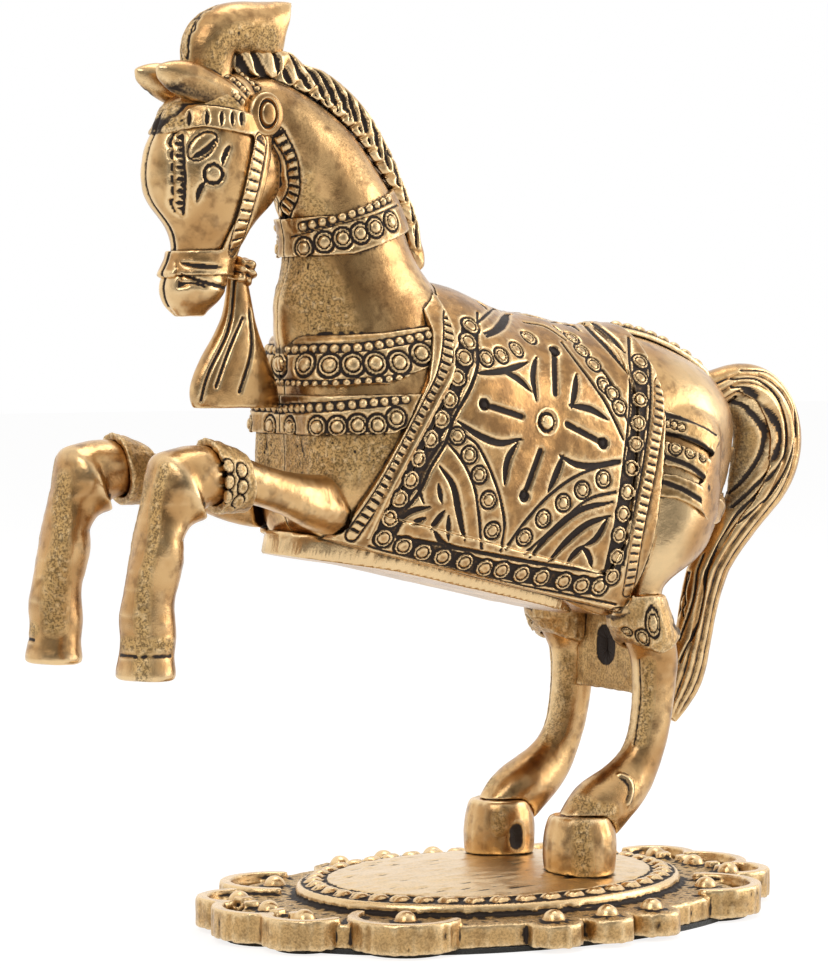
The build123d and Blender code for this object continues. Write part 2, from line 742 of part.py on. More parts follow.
crupper_front = barrel_x + barrel_length * crupper_shares[0]
crupper_back = barrel_x + barrel_length * crupper_shares[1]
crupper_middle = ((crupper_front + crupper_back) / 2, 0, barrel_z + barrel_depth / 2)
with BuildPart() as crupper:
    barrel(barrel_shares, grow=strap_rise)
    with BuildSketch(Plane(origin=crupper_middle)) as crupper_plan:
        Rectangle(crupper_back - crupper_front, barrel_width * crupper_shares[2])
    extrude(crupper_plan.sketch, amount=barrel_depth, mode=Mode.INTERSECT)
    add(trunk.part, mode=Mode.SUBTRACT)
    add(tail.part, mode=Mode.SUBTRACT)
    for dress in (
        breeching.part,
        cloth_border.part,
        mirror(breeching.part, about=Plane.XZ, mode=Mode.PRIVATE),
        mirror(cloth_border.part, about=Plane.XZ, mode=Mode.PRIVATE),
    ):
        add(dress, mode=Mode.SUBTRACT)
save("crupper", crupper.part)

with BuildPart() as tassel:
    limb(tassel_place, tassel_size, tassel_width, tassel_shares)
    limb(head_place, head_size, head_width, head_shares, mode=Mode.SUBTRACT)
    add(trunk.part, mode=Mode.SUBTRACT)
    for dress in (upper_collar.part, lower_collar.part, bridle.part):
        add(dress, mode=Mode.SUBTRACT)
        add(mirror(dress, about=Plane.XZ, mode=Mode.PRIVATE), mode=Mode.SUBTRACT)
save("chin_tassel", tassel.part)

bridge_x = leg_place[0] + leg_size[0] * bridge_place_share
bridge_z = thigh_z - bridge_drop - bridge_height / 2
with BuildPart() as hock_bridge:
    with BuildSketch(Plane.YZ.offset(bridge_x)) as bridge_outline:
        with Locations((0, bridge_z)):
            Rectangle(hoof_spread, bridge_height)
            SlotOverall(bridge_slot_height, bridge_slot_width, rotation=90, mode=Mode.SUBTRACT)
    extrude(amount=bridge_thickness / 2, both=True)
    for leg in (shank.part, hock_band.part, body.part):
        add(leg, mode=Mode.SUBTRACT)
        add(mirror(leg, about=Plane.XZ, mode=Mode.PRIVATE), mode=Mode.SUBTRACT)
save("hock_bridge", hock_bridge.part)
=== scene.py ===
"""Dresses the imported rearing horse: cast relief, antique gold finish, felt, light and camera.

The frame is in metres. Shapes are worked out in millimetres and brought back to metres at the end. Carving is placed
by pixels of the photograph, which are pinned to the CAD surfaces along the camera's rays.
"""

import math

import bmesh
import bpy
import numpy as np
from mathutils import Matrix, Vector
from mathutils.bvhtree import BVHTree


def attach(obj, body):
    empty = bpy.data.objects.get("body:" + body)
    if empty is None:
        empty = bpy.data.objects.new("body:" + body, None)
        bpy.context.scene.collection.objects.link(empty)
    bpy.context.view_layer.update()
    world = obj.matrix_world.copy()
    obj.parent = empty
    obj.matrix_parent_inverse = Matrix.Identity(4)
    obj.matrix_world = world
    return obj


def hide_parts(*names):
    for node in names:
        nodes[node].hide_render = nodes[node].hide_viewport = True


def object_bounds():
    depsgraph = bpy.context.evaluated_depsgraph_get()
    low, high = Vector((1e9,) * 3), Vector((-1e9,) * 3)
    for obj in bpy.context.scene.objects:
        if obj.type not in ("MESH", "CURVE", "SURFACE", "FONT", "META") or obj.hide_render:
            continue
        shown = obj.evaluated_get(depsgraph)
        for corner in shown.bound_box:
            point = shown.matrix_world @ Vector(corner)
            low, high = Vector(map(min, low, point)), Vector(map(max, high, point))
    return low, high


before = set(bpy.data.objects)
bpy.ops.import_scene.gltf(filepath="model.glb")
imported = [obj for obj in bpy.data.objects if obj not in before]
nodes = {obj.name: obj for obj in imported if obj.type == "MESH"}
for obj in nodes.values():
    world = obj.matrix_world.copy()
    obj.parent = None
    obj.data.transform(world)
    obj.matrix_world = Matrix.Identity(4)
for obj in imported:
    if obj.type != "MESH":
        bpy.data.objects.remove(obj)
cad_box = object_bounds()

MM = 0.001
SIDES = ("left", "right")

# The photograph's frame and the place it was taken from
PHOTO_WIDTH = 828
PHOTO_HEIGHT = 969
VIEW_AZIMUTH = -33.0
VIEW_ELEVATION = 2.7
VIEW_DISTANCE = 560.0
VIEW_AHEAD_OF_HOOVES = 25.5
VIEW_HEIGHT = 73.5
PIXELS_PER_MM = 6.0
SENSOR = 36.0

# Fineness of the remeshed castings, in millimetres
FINE = 0.22
MEDIUM = 0.30


def soft(share):
    """Eases a share from 0 to 1."""
    share = np.clip(share, 0.0, 1.0)
    return share * share * (3.0 - 2.0 * share)


def between(values, low, high):
    """Tells which values lie between two limits."""
    return (values > low) * (values < high)


def read(items, key, width, kind=np.float32):
    """Reads a property of a mesh's points, edges or triangles into an array of rows."""
    values = np.empty(len(items) * width, kind)
    items.foreach_get(key, values)
    return values.reshape(-1, width)


def mesh_points(mesh):
    """Reads a mesh's points."""
    return read(mesh.vertices, "co", 3).astype(np.float64)


def mesh_edges(mesh):
    """Reads a mesh's edges."""
    return read(mesh.edges, "vertices", 2, np.int32)


def normals_of(mesh):
    """Reads a mesh's point normals."""
    return read(mesh.vertex_normals, "vector", 3).astype(np.float64)


def write_points(mesh, points):
    """Writes an array of points back into a mesh."""
    mesh.vertices.foreach_set("co", points.astype(np.float32).ravel())
    mesh.update()


def add_object(name, data):
    """Puts a new object into the scene."""
    item = bpy.data.objects.new(name, data)
    bpy.context.scene.collection.objects.link(item)
    return item


def view_axes():
    """Gives the camera's target, its place, and its back, right and up directions, in millimetres."""
    azimuth = math.radians(VIEW_AZIMUTH)
    elevation = math.radians(VIEW_ELEVATION)
    level = math.cos(elevation)
    back = np.array([math.sin(azimuth) * level, -math.cos(azimuth) * level, math.sin(elevation)])
    right = np.array([math.cos(azimuth), math.sin(azimuth), 0.0])
    hooves = mesh_points(nodes["hind_hoof_left"].data)[:, 0] / MM
    target = np.array([(hooves.min() + hooves.max()) / 2 - VIEW_AHEAD_OF_HOOVES, 0.0, VIEW_HEIGHT])
    return target, target + VIEW_DISTANCE * back, back, right, np.cross(back, right)


TARGET, EYE, BACK, RIGHT, UP = view_axes()


def pixel_ray(pixel):
    """Gives the direction in which a pixel of the photograph looks."""
    across = pixel[0] - PHOTO_WIDTH / 2
    down = pixel[1] - PHOTO_HEIGHT / 2
    return (across * RIGHT - down * UP) / (PIXELS_PER_MM * VIEW_DISTANCE) - BACK


def plane_point(pixel, y=0.0):
    """Gives the point seen at a pixel on an upright plane along the horse."""
    ray = pixel_ray(pixel)
    return EYE + ray * (y - EYE[1]) / ray[1]


def surface_tree(names):
    """Builds a search tree over the CAD surfaces of some nodes, in millimetres."""
    points, triangles, count = [], [], 0
    for name in names:
        mesh = nodes[name].data
        mesh.calc_loop_triangles()
        points.append(mesh_points(mesh) / MM)
        triangles.append(read(mesh.loop_triangles, "vertices", 3, np.int32) + count)
        count += len(mesh.vertices)
    return BVHTree.FromPolygons(np.vstack(points).tolist(), np.vstack(triangles).tolist())


near_side = surface_tree([name for name in nodes if not name.endswith("_right")])
far_side = surface_tree([name for name in nodes if name.endswith("_right")])

# Where nothing shows at a pixel, rings of pixels round it are tried, one further out each time
PIN_REACH = 14
PIN_RING = 2
PIN_TURNS = 8


def pin(pixel, tree=near_side):
    """Gives the point that shows at a pixel of the photograph, or close beside it, folded to the left side."""
    for reach in range(0, PIN_REACH, PIN_RING):
        for turn in range(PIN_TURNS if reach else 1):
            angle = turn * 2 * math.pi / PIN_TURNS
            ray = pixel_ray((pixel[0] + reach * math.cos(angle), pixel[1] + reach * math.sin(angle)))
            hit = tree.ray_cast(Vector(EYE), Vector(ray).normalized())[0]
            if hit is not None:
                return np.array([hit.x, -abs(hit.y), hit.z])
    raise ValueError(f"nothing shows near pixel {pixel}")


def runs_of(line):
    """Gives how far along a line each of its points lies."""
    return np.r_[0, np.cumsum(np.linalg.norm(np.diff(line, axis=0), axis=1))]


def places(line, marks):
    """Gives the places at some marks along a line."""
    runs = runs_of(line)
    return np.stack([np.interp(marks, runs, axis) for axis in np.transpose(line)], 1)


def pin_line(pixels, tree=near_side, step=1.0):
    """Pins a smooth line through pixels of the photograph, with a point about every step in millimetres."""
    control = np.array(pixels, float)
    if len(control) == 2:
        control = np.array([control[0], control.mean(0), control[1]])
    runs = runs_of(control)
    marks = np.linspace(0, runs[-1], max(3, int(runs[-1] / PIXELS_PER_MM / step) + 1))
    slopes = np.gradient(control, runs, axis=0)
    spot = np.clip(np.searchsorted(runs, marks, side="right") - 1, 0, len(runs) - 2)
    gap = (runs[spot + 1] - runs[spot])[:, None]
    share = (marks - runs[spot])[:, None] / gap
    curve = (
        (2 * share ** 3 - 3 * share ** 2 + 1) * control[spot]
        + (share ** 3 - 2 * share ** 2 + share) * gap * slopes[spot]
        + (3 * share ** 2 - 2 * share ** 3) * control[spot + 1]
        + (share ** 3 - share ** 2) * gap * slopes[spot + 1]
    )
    return np.array([pin(point, tree) for point in curve])


def hash_noise(cells, seed):
    """Gives a steady random value from -1 to 1 for each whole cell."""
    mixed = cells[:, 0] * 374761393 + cells[:, 1] * 668265263 + cells[:, 2] * 2147483647 + seed * 1274126177
    mixed = (mixed ^ (mixed >> 13)) * 1274126177
    mixed = mixed ^ (mixed >> 16)
    return (mixed & 0xFFFF) / 32767.5 - 1.0


def lumps(points, size, seed):
    """Gives smooth lumps of a size over some points, from -1 to 1."""
    scaled = points / size
    cell = np.floor(scaled).astype(np.int64)
    share = soft(scaled - cell)
    total = np.zeros(len(points))
    for corner in range(8):
        offset = np.array([corner & 1, corner >> 1 & 1, corner >> 2 & 1])
        weight = np.prod(np.where(offset, share, 1.0 - share), axis=1)
        total += weight * hash_noise(cell + offset, seed)
    return total


# The run over which a cut's wall rises, in millimetres, and a disc's
WALL = 0.3
DISC_WALL = 0.18

# A stud's parts, as shares of its radius
STUD_FLAT = 0.70
STUD_RING = 0.91
STUD_EDGE = 1.05
STUD_MOAT = 1.5


def as_lines(lines):
    """Takes one line of pixels or a list of lines, and gives a list of lines."""
    return [lines] if np.isscalar(lines[0][0]) else lines


class Relief:
    """Heights, moves and finish over one casting, with its tarnish, painted shade, polish and painted sheen, worked
    out on the near side and mirrored to the far side.

    Lengths are in millimetres. What takes lines takes one line of pixels or a list of lines.
    """

    def __init__(self, points, normals):
        self.points = points * [1, 0, 1] - [0, 1, 0] * np.abs(points)
        self.normals = normals
        # The third holds tarnish and painted shade, the fourth polish and painted sheen
        self.height, self.grain, self.soot, self.burnish_and_sheen = np.zeros((4, len(points)))
        self.shift = np.zeros((len(points), 3))
        self.tree = near_side

    def far(self):
        """Turns to the far side, where the pixels that follow are pinned."""
        self.tree = far_side

    def measure(self, line, reach):
        """Finds the points within reach of a line, their distance, how far along they lie, and its length."""
        low = line.min(0) - reach
        high = line.max(0) + reach
        index = np.nonzero(((self.points > low) & (self.points < high)).all(1))[0]
        points = self.points[index]
        best = np.full(len(index), np.inf)
        along = np.zeros(len(index))
        start_run = 0.0
        for start, end in zip(line[:-1], line[1:]):
            run = end - start
            length = np.linalg.norm(run)
            if length < 1e-6:
                continue
            share = np.clip((points - start) @ run / length ** 2, 0, 1)
            gap = np.linalg.norm(points - start - share[:, None] * run, axis=1)
            closer = gap < best
            best[closer] = gap[closer]
            along[closer] = start_run + share[closer] * length
            start_run += length
        inside = best < reach
        return index[inside], best[inside], along[inside], start_run

    def near(self, lines, reach):
        """Measures the points along each line."""
        for line in as_lines(lines):
            yield self.measure(pin_line(line, self.tree), reach)

    def around(self, centre, reach):
        """Finds the points within reach of a place, and their distance."""
        return self.measure(np.array([centre, centre + [0, 0, 1e-3]]), reach)[:2]

    def lower(self, index, depth):
        """Cuts some points to a depth, unless they are deeper already."""
        self.height[index] = np.minimum(self.height[index], -depth)

    def groove(self, lines, width, depth=0.35):
        """Cuts a rounded groove."""
        for index, gap, *_ in self.near(lines, width):
            self.lower(index, depth * soft(1.25 - gap / (width / 2)))

    def leaf(self, lines, width, depth=0.4):
        """Cuts a leaf-shaped hollow that tapers to both ends."""
        for index, gap, along, length in self.near(lines, width):
            half = width / 2 * np.sqrt(np.clip(np.sin(math.pi * np.clip(along / length, 0.03, 0.97)), 0.05, 1))
            self.lower(index, depth * soft(1.5 * (1 - gap / half) + 0.2))

    def trough(self, lines, width, depth):
        """Lowers a flat-bottomed band."""
        for index, gap, *_ in self.near(lines, width):
            self.lower(index, depth * soft((width / 2 - gap) / WALL + 0.5))

    def ladder(self, lines, width, pitch, depth=0.40, rung=0.42, margin=0.25):
        """Cuts a strap's short cross notches between its two plain edges, and a line along each edge."""
        for index, gap, along, _ in self.near(lines, width):
            phase = np.abs((along / pitch) % 1.0 - 0.5) * 2
            across = soft((width / 2 - margin - gap) / 0.25 + 0.5)
            notch = soft((phase - (1 - rung)) / 0.3 + 0.3) * across
            edge = soft(1 - np.abs(gap - width / 2) / WALL)
            self.lower(index, depth * np.maximum(notch, edge))

    def ridge(self, lines, width, height):
        """Raises a rounded ridge."""
        for index, gap, *_ in self.near(lines, width):
            self.height[index] = np.maximum(self.height[index], height * soft(1.1 - gap / (width / 2)))

    def swell(self, lines, radius, amount):
        """Raises a broad, soft swelling."""
        for index, gap, *_ in self.near(lines, radius):
            self.height[index] += amount * soft(1 - gap / radius)

    def studs(self, pixels, radius, dome=0.0, ring=0.12, sink=0.42):
        """Sets studs: a flat disc or a dome inside a thin raised ring, with a dark cut between and around."""
        for pixel in pixels:
            index, gap = self.around(pin(pixel, self.tree), radius * STUD_MOAT)
            share = gap / radius
            disc = soft((STUD_FLAT - share) / 0.09)
            lift = disc * (dome * np.sqrt(np.clip(1 - (share / STUD_FLAT) ** 2, 0, 1)) + sink) - sink
            rim = soft((0.13 - np.abs(share - STUD_RING)) / 0.07)
            lift = np.maximum(lift, rim * (ring + sink) - sink)
            inside = share < STUD_EDGE
            self.height[index[inside]] = lift[inside]
            self.lower(index[~inside], sink * soft((STUD_MOAT - share[~inside]) / 0.3))

    def stud_row(self, pixels, radius, sink=0.42):
        """Sets a row of flat studs in one sunk band."""
        self.trough(pixels, radius * 2.2, sink * 0.9)
        self.studs(pixels, radius)

    def discs(self, pixels, inner, outer, dome, sink=0.4):
        """Leaves discs, each inside a dark ring-shaped cut."""
        for pixel in pixels:
            index, gap = self.around(pin(pixel, self.tree), outer)
            island = soft((inner - gap) / DISC_WALL + 0.5)
            wall = soft((outer - gap) / DISC_WALL)
            self.height[index] += dome * island - sink * (1 - island) * wall

    def bead(self, centre, radius, lift, sink):
        """Raises one plain bead."""
        index, gap = self.around(centre, radius)
        dome = -sink + (lift + sink) * np.clip(1 - (gap / radius) ** 2, 0, 1) ** 0.4
        self.height[index] = np.maximum(self.height[index], dome)

    def beads(self, lines, radius, pitch, lift=0.25, sink=0.3):
        """Sets rows of plain beads, each in a sunk band."""
        for line in as_lines(lines):
            self.trough(line, radius * 2.5, sink)
            pinned = pin_line(line, self.tree, 0.4)
            length = runs_of(pinned)[-1]
            for centre in places(pinned, np.linspace(0, length, max(2, int(round(length / pitch)) + 1))):
                self.bead(centre, radius, lift, sink)

    def mark(self, finish, lines, radius, amount, rise=1.4):
        """Raises one part of the finish in a zone."""
        for index, gap, *_ in self.near(lines, radius):
            finish[index] = np.maximum(finish[index], amount * soft(rise * (1 - gap / radius)))

    def patch(self, lines, radius, amount=1.0):
        """Marks a zone as granular, as it was cast."""
        self.mark(self.grain, lines, radius, amount)

    def add_tarnish_and_shade(self, lines, radius, amount):
        """Darkens a zone, with tarnish in some zones and painted shade in others."""
        self.mark(self.soot, lines, radius, amount)

    def add_burnish_and_sheen(self, lines, radius, amount):
        """Brightens a zone, with rubbed polish in some zones and a painted reflection in others."""
        self.mark(self.burnish_and_sheen, lines, radius, amount, 1.3)

    def coat(self, grain, soot=0.0):
        """Makes the whole piece more granular, and darker with tarnish and painted shade."""
        self.grain += grain
        self.soot += soot

    def push(self, lines, radius, move, share=1.0):
        """Moves a zone by a distance, the most on the line itself; a share holds some points back."""
        share = np.broadcast_to(share, len(self.points))
        for index, gap, *_ in self.near(lines, radius):
            self.shift[index] += (soft(1 - gap / radius) * share[index])[:, None] * np.array(move)

    def facing(self, direction, low, high):
        """Gives the share of each point that faces a direction."""
        return soft((self.normals @ np.array(direction) - low) / (high - low))

    def roughen(self, size, amount, seed, share=1.0, stretch=(1, 1, 1)):
        """Adds the lumps of a sand-cast surface, or the strokes of a tool where they are stretched."""
        self.height += amount * share * lumps(self.points / stretch, size, seed)

    def stipple(self, size, amount, seed):
        """Roughens the granular zones."""
        self.roughen(size, amount, seed, self.grain)


def bake_modifier(piece, kind, **settings):
    """Adds one modifier to a piece and replaces its mesh by the result."""
    modifier = piece.modifiers.new("shape", kind)
    for name, value in settings.items():
        setattr(modifier, name, value)
    graph = bpy.context.evaluated_depsgraph_get()
    mesh = bpy.data.meshes.new_from_object(piece.evaluated_get(graph))
    piece.modifiers.clear()
    old = piece.data
    piece.data = mesh
    bpy.data.meshes.remove(old)


def smoothed(points, edges, rounds, share=0.5):
    """Relaxes points towards the mean of the points that they are joined to."""
    first, second = edges.T
    count = len(points)
    joined = np.maximum(np.bincount(first, minlength=count) + np.bincount(second, minlength=count), 1)
    for _ in range(rounds):
        mean = np.stack([
            (np.bincount(first, values[second], count) + np.bincount(second, values[first], count)) / joined
            for values in points.T
        ], 1)
        points = points + share * (mean - points)
    return points


def store(mesh, name, values):
    """Stores one value for each point of a mesh."""
    mesh.attributes.new(name, "FLOAT", "POINT").data.foreach_set("value", values.astype(np.float32))


TREES = {}
JOINT_REACH = 0.42
ONE_DRESS = {f"{name}_{side}" for name in ("saddle_cloth", "cloth_border") for side in SIDES}
WELD = 0.2

# Groups of pieces that meet without a dark line between them
CAST_TOGETHER = [ONE_DRESS] + [
    {name if name == "hock_bridge" else f"{name}_{side}" for name in group}
    for side in SIDES
    for group in (
        ("hind_leg", "hind_hoof", "hock_bridge"),
        ("body_half", "foreleg", "hind_leg", "ear"),
        ("foreleg", "kneelet"),
    )
]


def tree_of(name):
    """Keeps one search tree for each CAD node, with its box."""
    if name not in TREES:
        points = mesh_points(nodes[name].data) / MM
        TREES[name] = (surface_tree([name]), points.min(0), points.max(0))
    return TREES[name]


def contact_share(node, points, others):
    """Tells how near each point lies to one of some other pieces."""
    share = np.zeros(len(points))
    low, high = points.min(0), points.max(0)
    for other in others:
        if other == node:
            continue
        tree, other_low, other_high = tree_of(other)
        if (other_low > high + JOINT_REACH).any() or (other_high < low - JOINT_REACH).any():
            continue
        near = ((points > other_low - JOINT_REACH) & (points < other_high + JOINT_REACH)).all(1)
        for index in np.nonzero(near)[0]:
            gap = tree.find_nearest(points[index], JOINT_REACH)[3]
            if gap is not None:
                share[index] = max(share[index], 1 - gap / JOINT_REACH)
    return soft(share * 1.2)


def settle(piece, material, slot="cast_metal", node=None):
    """Gives a casting its material and its body, and hides the CAD node that it replaces."""
    mesh = piece.data
    mesh.polygons.foreach_set("use_smooth", np.ones(len(mesh.polygons), bool))
    mesh.materials.append(material)
    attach(piece, "root")
    if node:
        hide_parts(node)


# Depths, in millimetres, from which hollows, edges and cuts show, and how dark the tarnish and painted shade in them
# is
HOLLOW_FROM = 0.008
HOLLOW_SPAN = 0.07
HOLLOW_TARNISH_AND_SHADE = 0.85
EDGE_FROM = 0.01
CUT_FROM = 0.10
CUT_SPAN = 0.20
CUT_TARNISH_AND_SHADE = 0.6
JOINT_TARNISH_AND_SHADE = 0.6


def cast(node, voxel, steps, relax=3, material=None, share=1.0, slot="cast_metal"):
    """Turns a CAD node into a casting: remeshed, softened, carved by its steps and given its tarnish, painted shade,
    polish and painted sheen.

    A step names one of Relief's ways of carving, or a function of this script, and gives what that takes.
    """
    mesh = nodes[node].data.copy()
    mesh.materials.clear()
    write_points(mesh, mesh_points(mesh) / MM)
    piece = add_object("cast_" + node, mesh)
    bake_modifier(piece, "REMESH", mode="VOXEL", voxel_size=voxel)
    mesh = piece.data
    edges = mesh_edges(mesh)
    points = smoothed(mesh_points(mesh), edges, relax)
    write_points(mesh, points)
    normals = normals_of(mesh)
    shape = Relief(points, normals)
    for kind, *values in steps:
        if callable(kind):
            kind(shape)
        else:
            getattr(shape, kind)(*values)
    if node in ONE_DRESS:
        shape.shift += normals * WELD * contact_share(node, points, ONE_DRESS)[:, None]
    carved = points + normals * shape.height[:, None] + shape.shift
    settled = smoothed(carved, edges, 1, 0.35)
    write_points(mesh, settled)
    hollow = ((smoothed(settled, edges, 8, 0.7) - settled) * normals_of(mesh)).sum(1)
    apart = [other for other in nodes if not any({node, other} <= group for group in CAST_TOGETHER)]
    joint = contact_share(node, settled, apart)
    cut = soft((-shape.height - CUT_FROM) / CUT_SPAN)
    dark = soft((hollow - HOLLOW_FROM) / HOLLOW_SPAN) * HOLLOW_TARNISH_AND_SHADE + cut * CUT_TARNISH_AND_SHADE + joint * JOINT_TARNISH_AND_SHADE
    # Tarnish and painted shade: darker in hollows, in cuts, at joints and where the steps paint shade
    store(mesh, "tarnish_and_shade", np.clip(dark + shape.soot, 0, 1))
    # Rubbed convex edges, together with the polish and painted sheen that the steps add
    store(mesh, "edge", np.clip(soft((-hollow - EDGE_FROM) / HOLLOW_SPAN) + shape.burnish_and_sheen, 0, 1))
    store(mesh, "grain", shape.grain)
    if share < 1.0:
        bake_modifier(piece, "DECIMATE", ratio=share)
        mesh = piece.data
    low, high = np.array(cad_box) / MM
    write_points(mesh, np.clip(mesh_points(mesh), low, high) * MM)
    settle(piece, material or gold, slot, node)
    print("cast", node, len(mesh.polygons))


class Shader:
    """Builds the nodes of a material or of the world."""

    def __init__(self, owner):
        owner.use_nodes = True
        self.owner = owner
        self.tree = owner.node_tree
        self.surface = self.tree.nodes.get("Principled BSDF")

    def feed(self, node, inputs):
        """Gives each input, by its name or number, a value or another node's output."""
        for key, value in inputs.items():
            if hasattr(value, "is_output"):
                self.tree.links.new(value, node.inputs[key])
            else:
                node.inputs[key].default_value = value

    def add(self, kind, inputs=None, **settings):
        """Adds a node and gives its first output."""
        node = self.tree.nodes.new("ShaderNode" + kind)
        for name, value in settings.items():
            setattr(node, name, value)
        self.feed(node, inputs or {})
        return node.outputs[0]

    def noise(self, scale, detail=3.0, roughness=0.55):
        """Adds a noise that is fixed to the object."""
        place = self.add("TexCoord").node.outputs["Object"]
        return self.add("TexNoise", {"Vector": place, "Scale": scale, "Detail": detail, "Roughness": roughness})

    def math(self, operation, first, second):
        """Adds a sum, product or the like of two values."""
        return self.add("Math", {0: first, 1: second}, operation=operation)

    def band(self, value, limits, ends=(0.0, 1.0), offset=0.0):
        """Eases a value that runs between two limits from one end to the other."""
        low, high = limits
        sockets = {"From Min": low + offset, "From Max": high + offset, "To Min": ends[0], "To Max": ends[1]}
        return self.add("MapRange", {"Value": value, **sockets}, interpolation_type="SMOOTHSTEP")

    def mix(self, share, first, second):
        """Mixes two colours."""
        return self.add("Mix", {0: share, 6: first, 7: second}, data_type="RGBA").node.outputs[2]


# Colours of the finish
PALE_GOLD = (0.60, 0.375, 0.165, 1)
WARM_GOLD = (0.43, 0.235, 0.090, 1)
BRONZE = (0.21, 0.110, 0.045, 1)
# Pale gold of rubbed edges, of polish and of painted sheen
WORN_EDGE_AND_SHEEN_GOLD = (0.82, 0.60, 0.33, 1)
GRAIN_GOLD = (0.68, 0.47, 0.18, 1)
# Brown-black of tarnish and of painted shade
TARNISH_AND_SHADE_BROWN = (0.022, 0.012, 0.007, 1)
FELT_DEEP = (0.018, 0.018, 0.016, 1)
FELT_TOP = (0.05, 0.05, 0.045, 1)
STEEL_DEEP = (0.42, 0.42, 0.44, 1)
STEEL_TOP = (0.66, 0.66, 0.68, 1)
FLOOR_PALE = (0.86, 0.85, 0.84, 1)
WHITE = (1, 1, 1, 1)

# Scales of the noises, per metre
CLOUDS = 90.0
MOTTLE = 420.0
GRIT = 2600.0
FUZZ = 3500.0
TURNING = 1800.0

# Limits between which one tone eases into the next
PALE_BAND = (0.38, 0.62)
BRONZE_BAND = (0.46, 0.70)
SPECK_BAND = (0.47, 0.56)
DARK_BAND = (0.18, 0.75)
DULL_BAND = (0.4, 1.0)
WHOLE_BAND = (0.0, 1.0)

# From bright metal to old finish, or from smooth to granular
METALLIC = (1.0, 0.45)
ROUGHNESS = (0.27, 0.62)
PITTING = (0.12, 1.0)

# The most that each effect adds
BRONZE_SHARE = 0.75
GRAIN_TONE = 0.35
GRAIN_ROUGHNESS = 0.5
# How far rubbed edges, polish and painted sheen turn the gold paler
WORN_EDGE_AND_SHEEN_TONE = 0.8
SPECKS = 0.6
GRIT_IN_TARNISH_AND_SHADE = 0.7
MOTTLE_HEIGHT = 0.5


def antique_gold(name, paler=0.0, browner=0.0):
    """Gives rubbed antique gold: bright on the high places and where sheen is painted, bronze on the flats,
    brown-black in the hollows and where shade is painted.
    """
    shader = Shader(bpy.data.materials.new(name))
    wide = shader.noise(CLOUDS, 2.0)
    middle = shader.noise(MOTTLE, 4.0)
    fine = shader.noise(GRIT, 5.0, 0.65)
    tarnish_and_shade, edge, grain = (
        shader.add("Attribute", attribute_name=finish).node.outputs["Fac"] for finish in ("tarnish_and_shade", "edge", "grain")
    )
    tone = shader.mix(shader.band(wide, PALE_BAND, offset=-paler), WARM_GOLD, PALE_GOLD)
    tone = shader.mix(shader.band(middle, BRONZE_BAND, (0.0, BRONZE_SHARE), -browner), tone, BRONZE)
    tone = shader.mix(shader.math("MULTIPLY", grain, GRAIN_TONE), tone, GRAIN_GOLD)
    # Rubbed edges, polish and painted sheen turn the gold paler
    tone = shader.mix(shader.math("MULTIPLY", edge, WORN_EDGE_AND_SHEEN_TONE), tone, WORN_EDGE_AND_SHEEN_GOLD)
    speckle = shader.math("MULTIPLY", shader.math("MULTIPLY", grain, shader.band(fine, SPECK_BAND)), SPECKS)
    # Tarnish and painted shade turn the gold brown-black
    tarnish_shade_and_grit = shader.math("ADD", tarnish_and_shade, shader.math("MULTIPLY", shader.math("SUBTRACT", fine, 0.5), GRIT_IN_TARNISH_AND_SHADE))
    dark = shader.math("MAXIMUM", shader.band(tarnish_shade_and_grit, DARK_BAND), speckle)
    rough = shader.math("MAXIMUM", dark, shader.math("MULTIPLY", grain, GRAIN_ROUGHNESS))
    pits = shader.math("MULTIPLY", fine, shader.band(grain, WHOLE_BAND, PITTING))
    rolled = shader.math("ADD", pits, shader.math("MULTIPLY", middle, MOTTLE_HEIGHT))
    shader.feed(shader.surface, {
        "Base Color": shader.mix(dark, tone, TARNISH_AND_SHADE_BROWN),
        "Metallic": shader.band(dark, DULL_BAND, METALLIC),
        "Roughness": shader.band(rough, WHOLE_BAND, ROUGHNESS),
        "Normal": shader.add("Bump", {"Strength": 0.55, "Distance": 0.00035, "Height": rolled}),
    })
    return shader.owner


gold = antique_gold("antique_gold")
dress_gold = antique_gold("antique_gold_dress", -0.14, 0.08)
# A paler copy for the base, as a painted reflection of bright surroundings on its top
base_gold_with_painted_sheen = antique_gold("antique_gold_base_painted_sheen", 0.08)


def felt_material():
    """Gives short dark felt."""
    shader = Shader(bpy.data.materials.new("felt"))
    fuzz = shader.noise(FUZZ, 4.0)
    shader.feed(shader.surface, {
        "Base Color": shader.mix(fuzz, FELT_DEEP, FELT_TOP),
        "Roughness": 0.95,
        "Sheen Weight": 0.4,
        "Normal": shader.add("Bump", {"Strength": 0.6, "Distance": 0.0003, "Height": fuzz}),
    })
    return shader.owner


def steel_material():
    """Gives plated screw steel with fine turning marks."""
    shader = Shader(bpy.data.materials.new("screw_steel"))
    marks = shader.mix(shader.noise(TURNING, 2.0), STEEL_DEEP, STEEL_TOP)
    shader.feed(shader.surface, {"Base Color": marks, "Metallic": 1.0, "Roughness": 0.35})
    return shader.owner


# Plain castings end in a gentle unevenness
CAST_SKIN = [("roughen", 5.0, 0.10, 81), ("roughen", 1.2, 0.03, 82)]

# The saddle cloth: each petal slot of the flower runs from its drilled tip to its root
FLOWER = (547, 422)
PETAL_SLOTS = [((555, 350), (556, 393)), ((485, 404), (522, 416)), ((604, 443), (568, 424)), ((525, 496), (541, 451))]


def flower(shape):
    """Cuts the flower's petal slots and the ridge round its domed heart."""
    for tip, root in PETAL_SLOTS:
        shape.groove([tip, root], 1.35, 0.45)
        shape.discs([tip], 0.5, 1.15, -0.2, 0.45)
    shape.discs([FLOWER], 1.15, 1.9, 0.45)
    x, y = FLOWER
    turns = np.arange(0.5, 6.4, 0.5)
    shape.ridge([(x - 11, y)] + [(x - 11 * math.cos(turn), y - 14 * math.sin(turn)) for turn in turns], 0.5, 0.14)


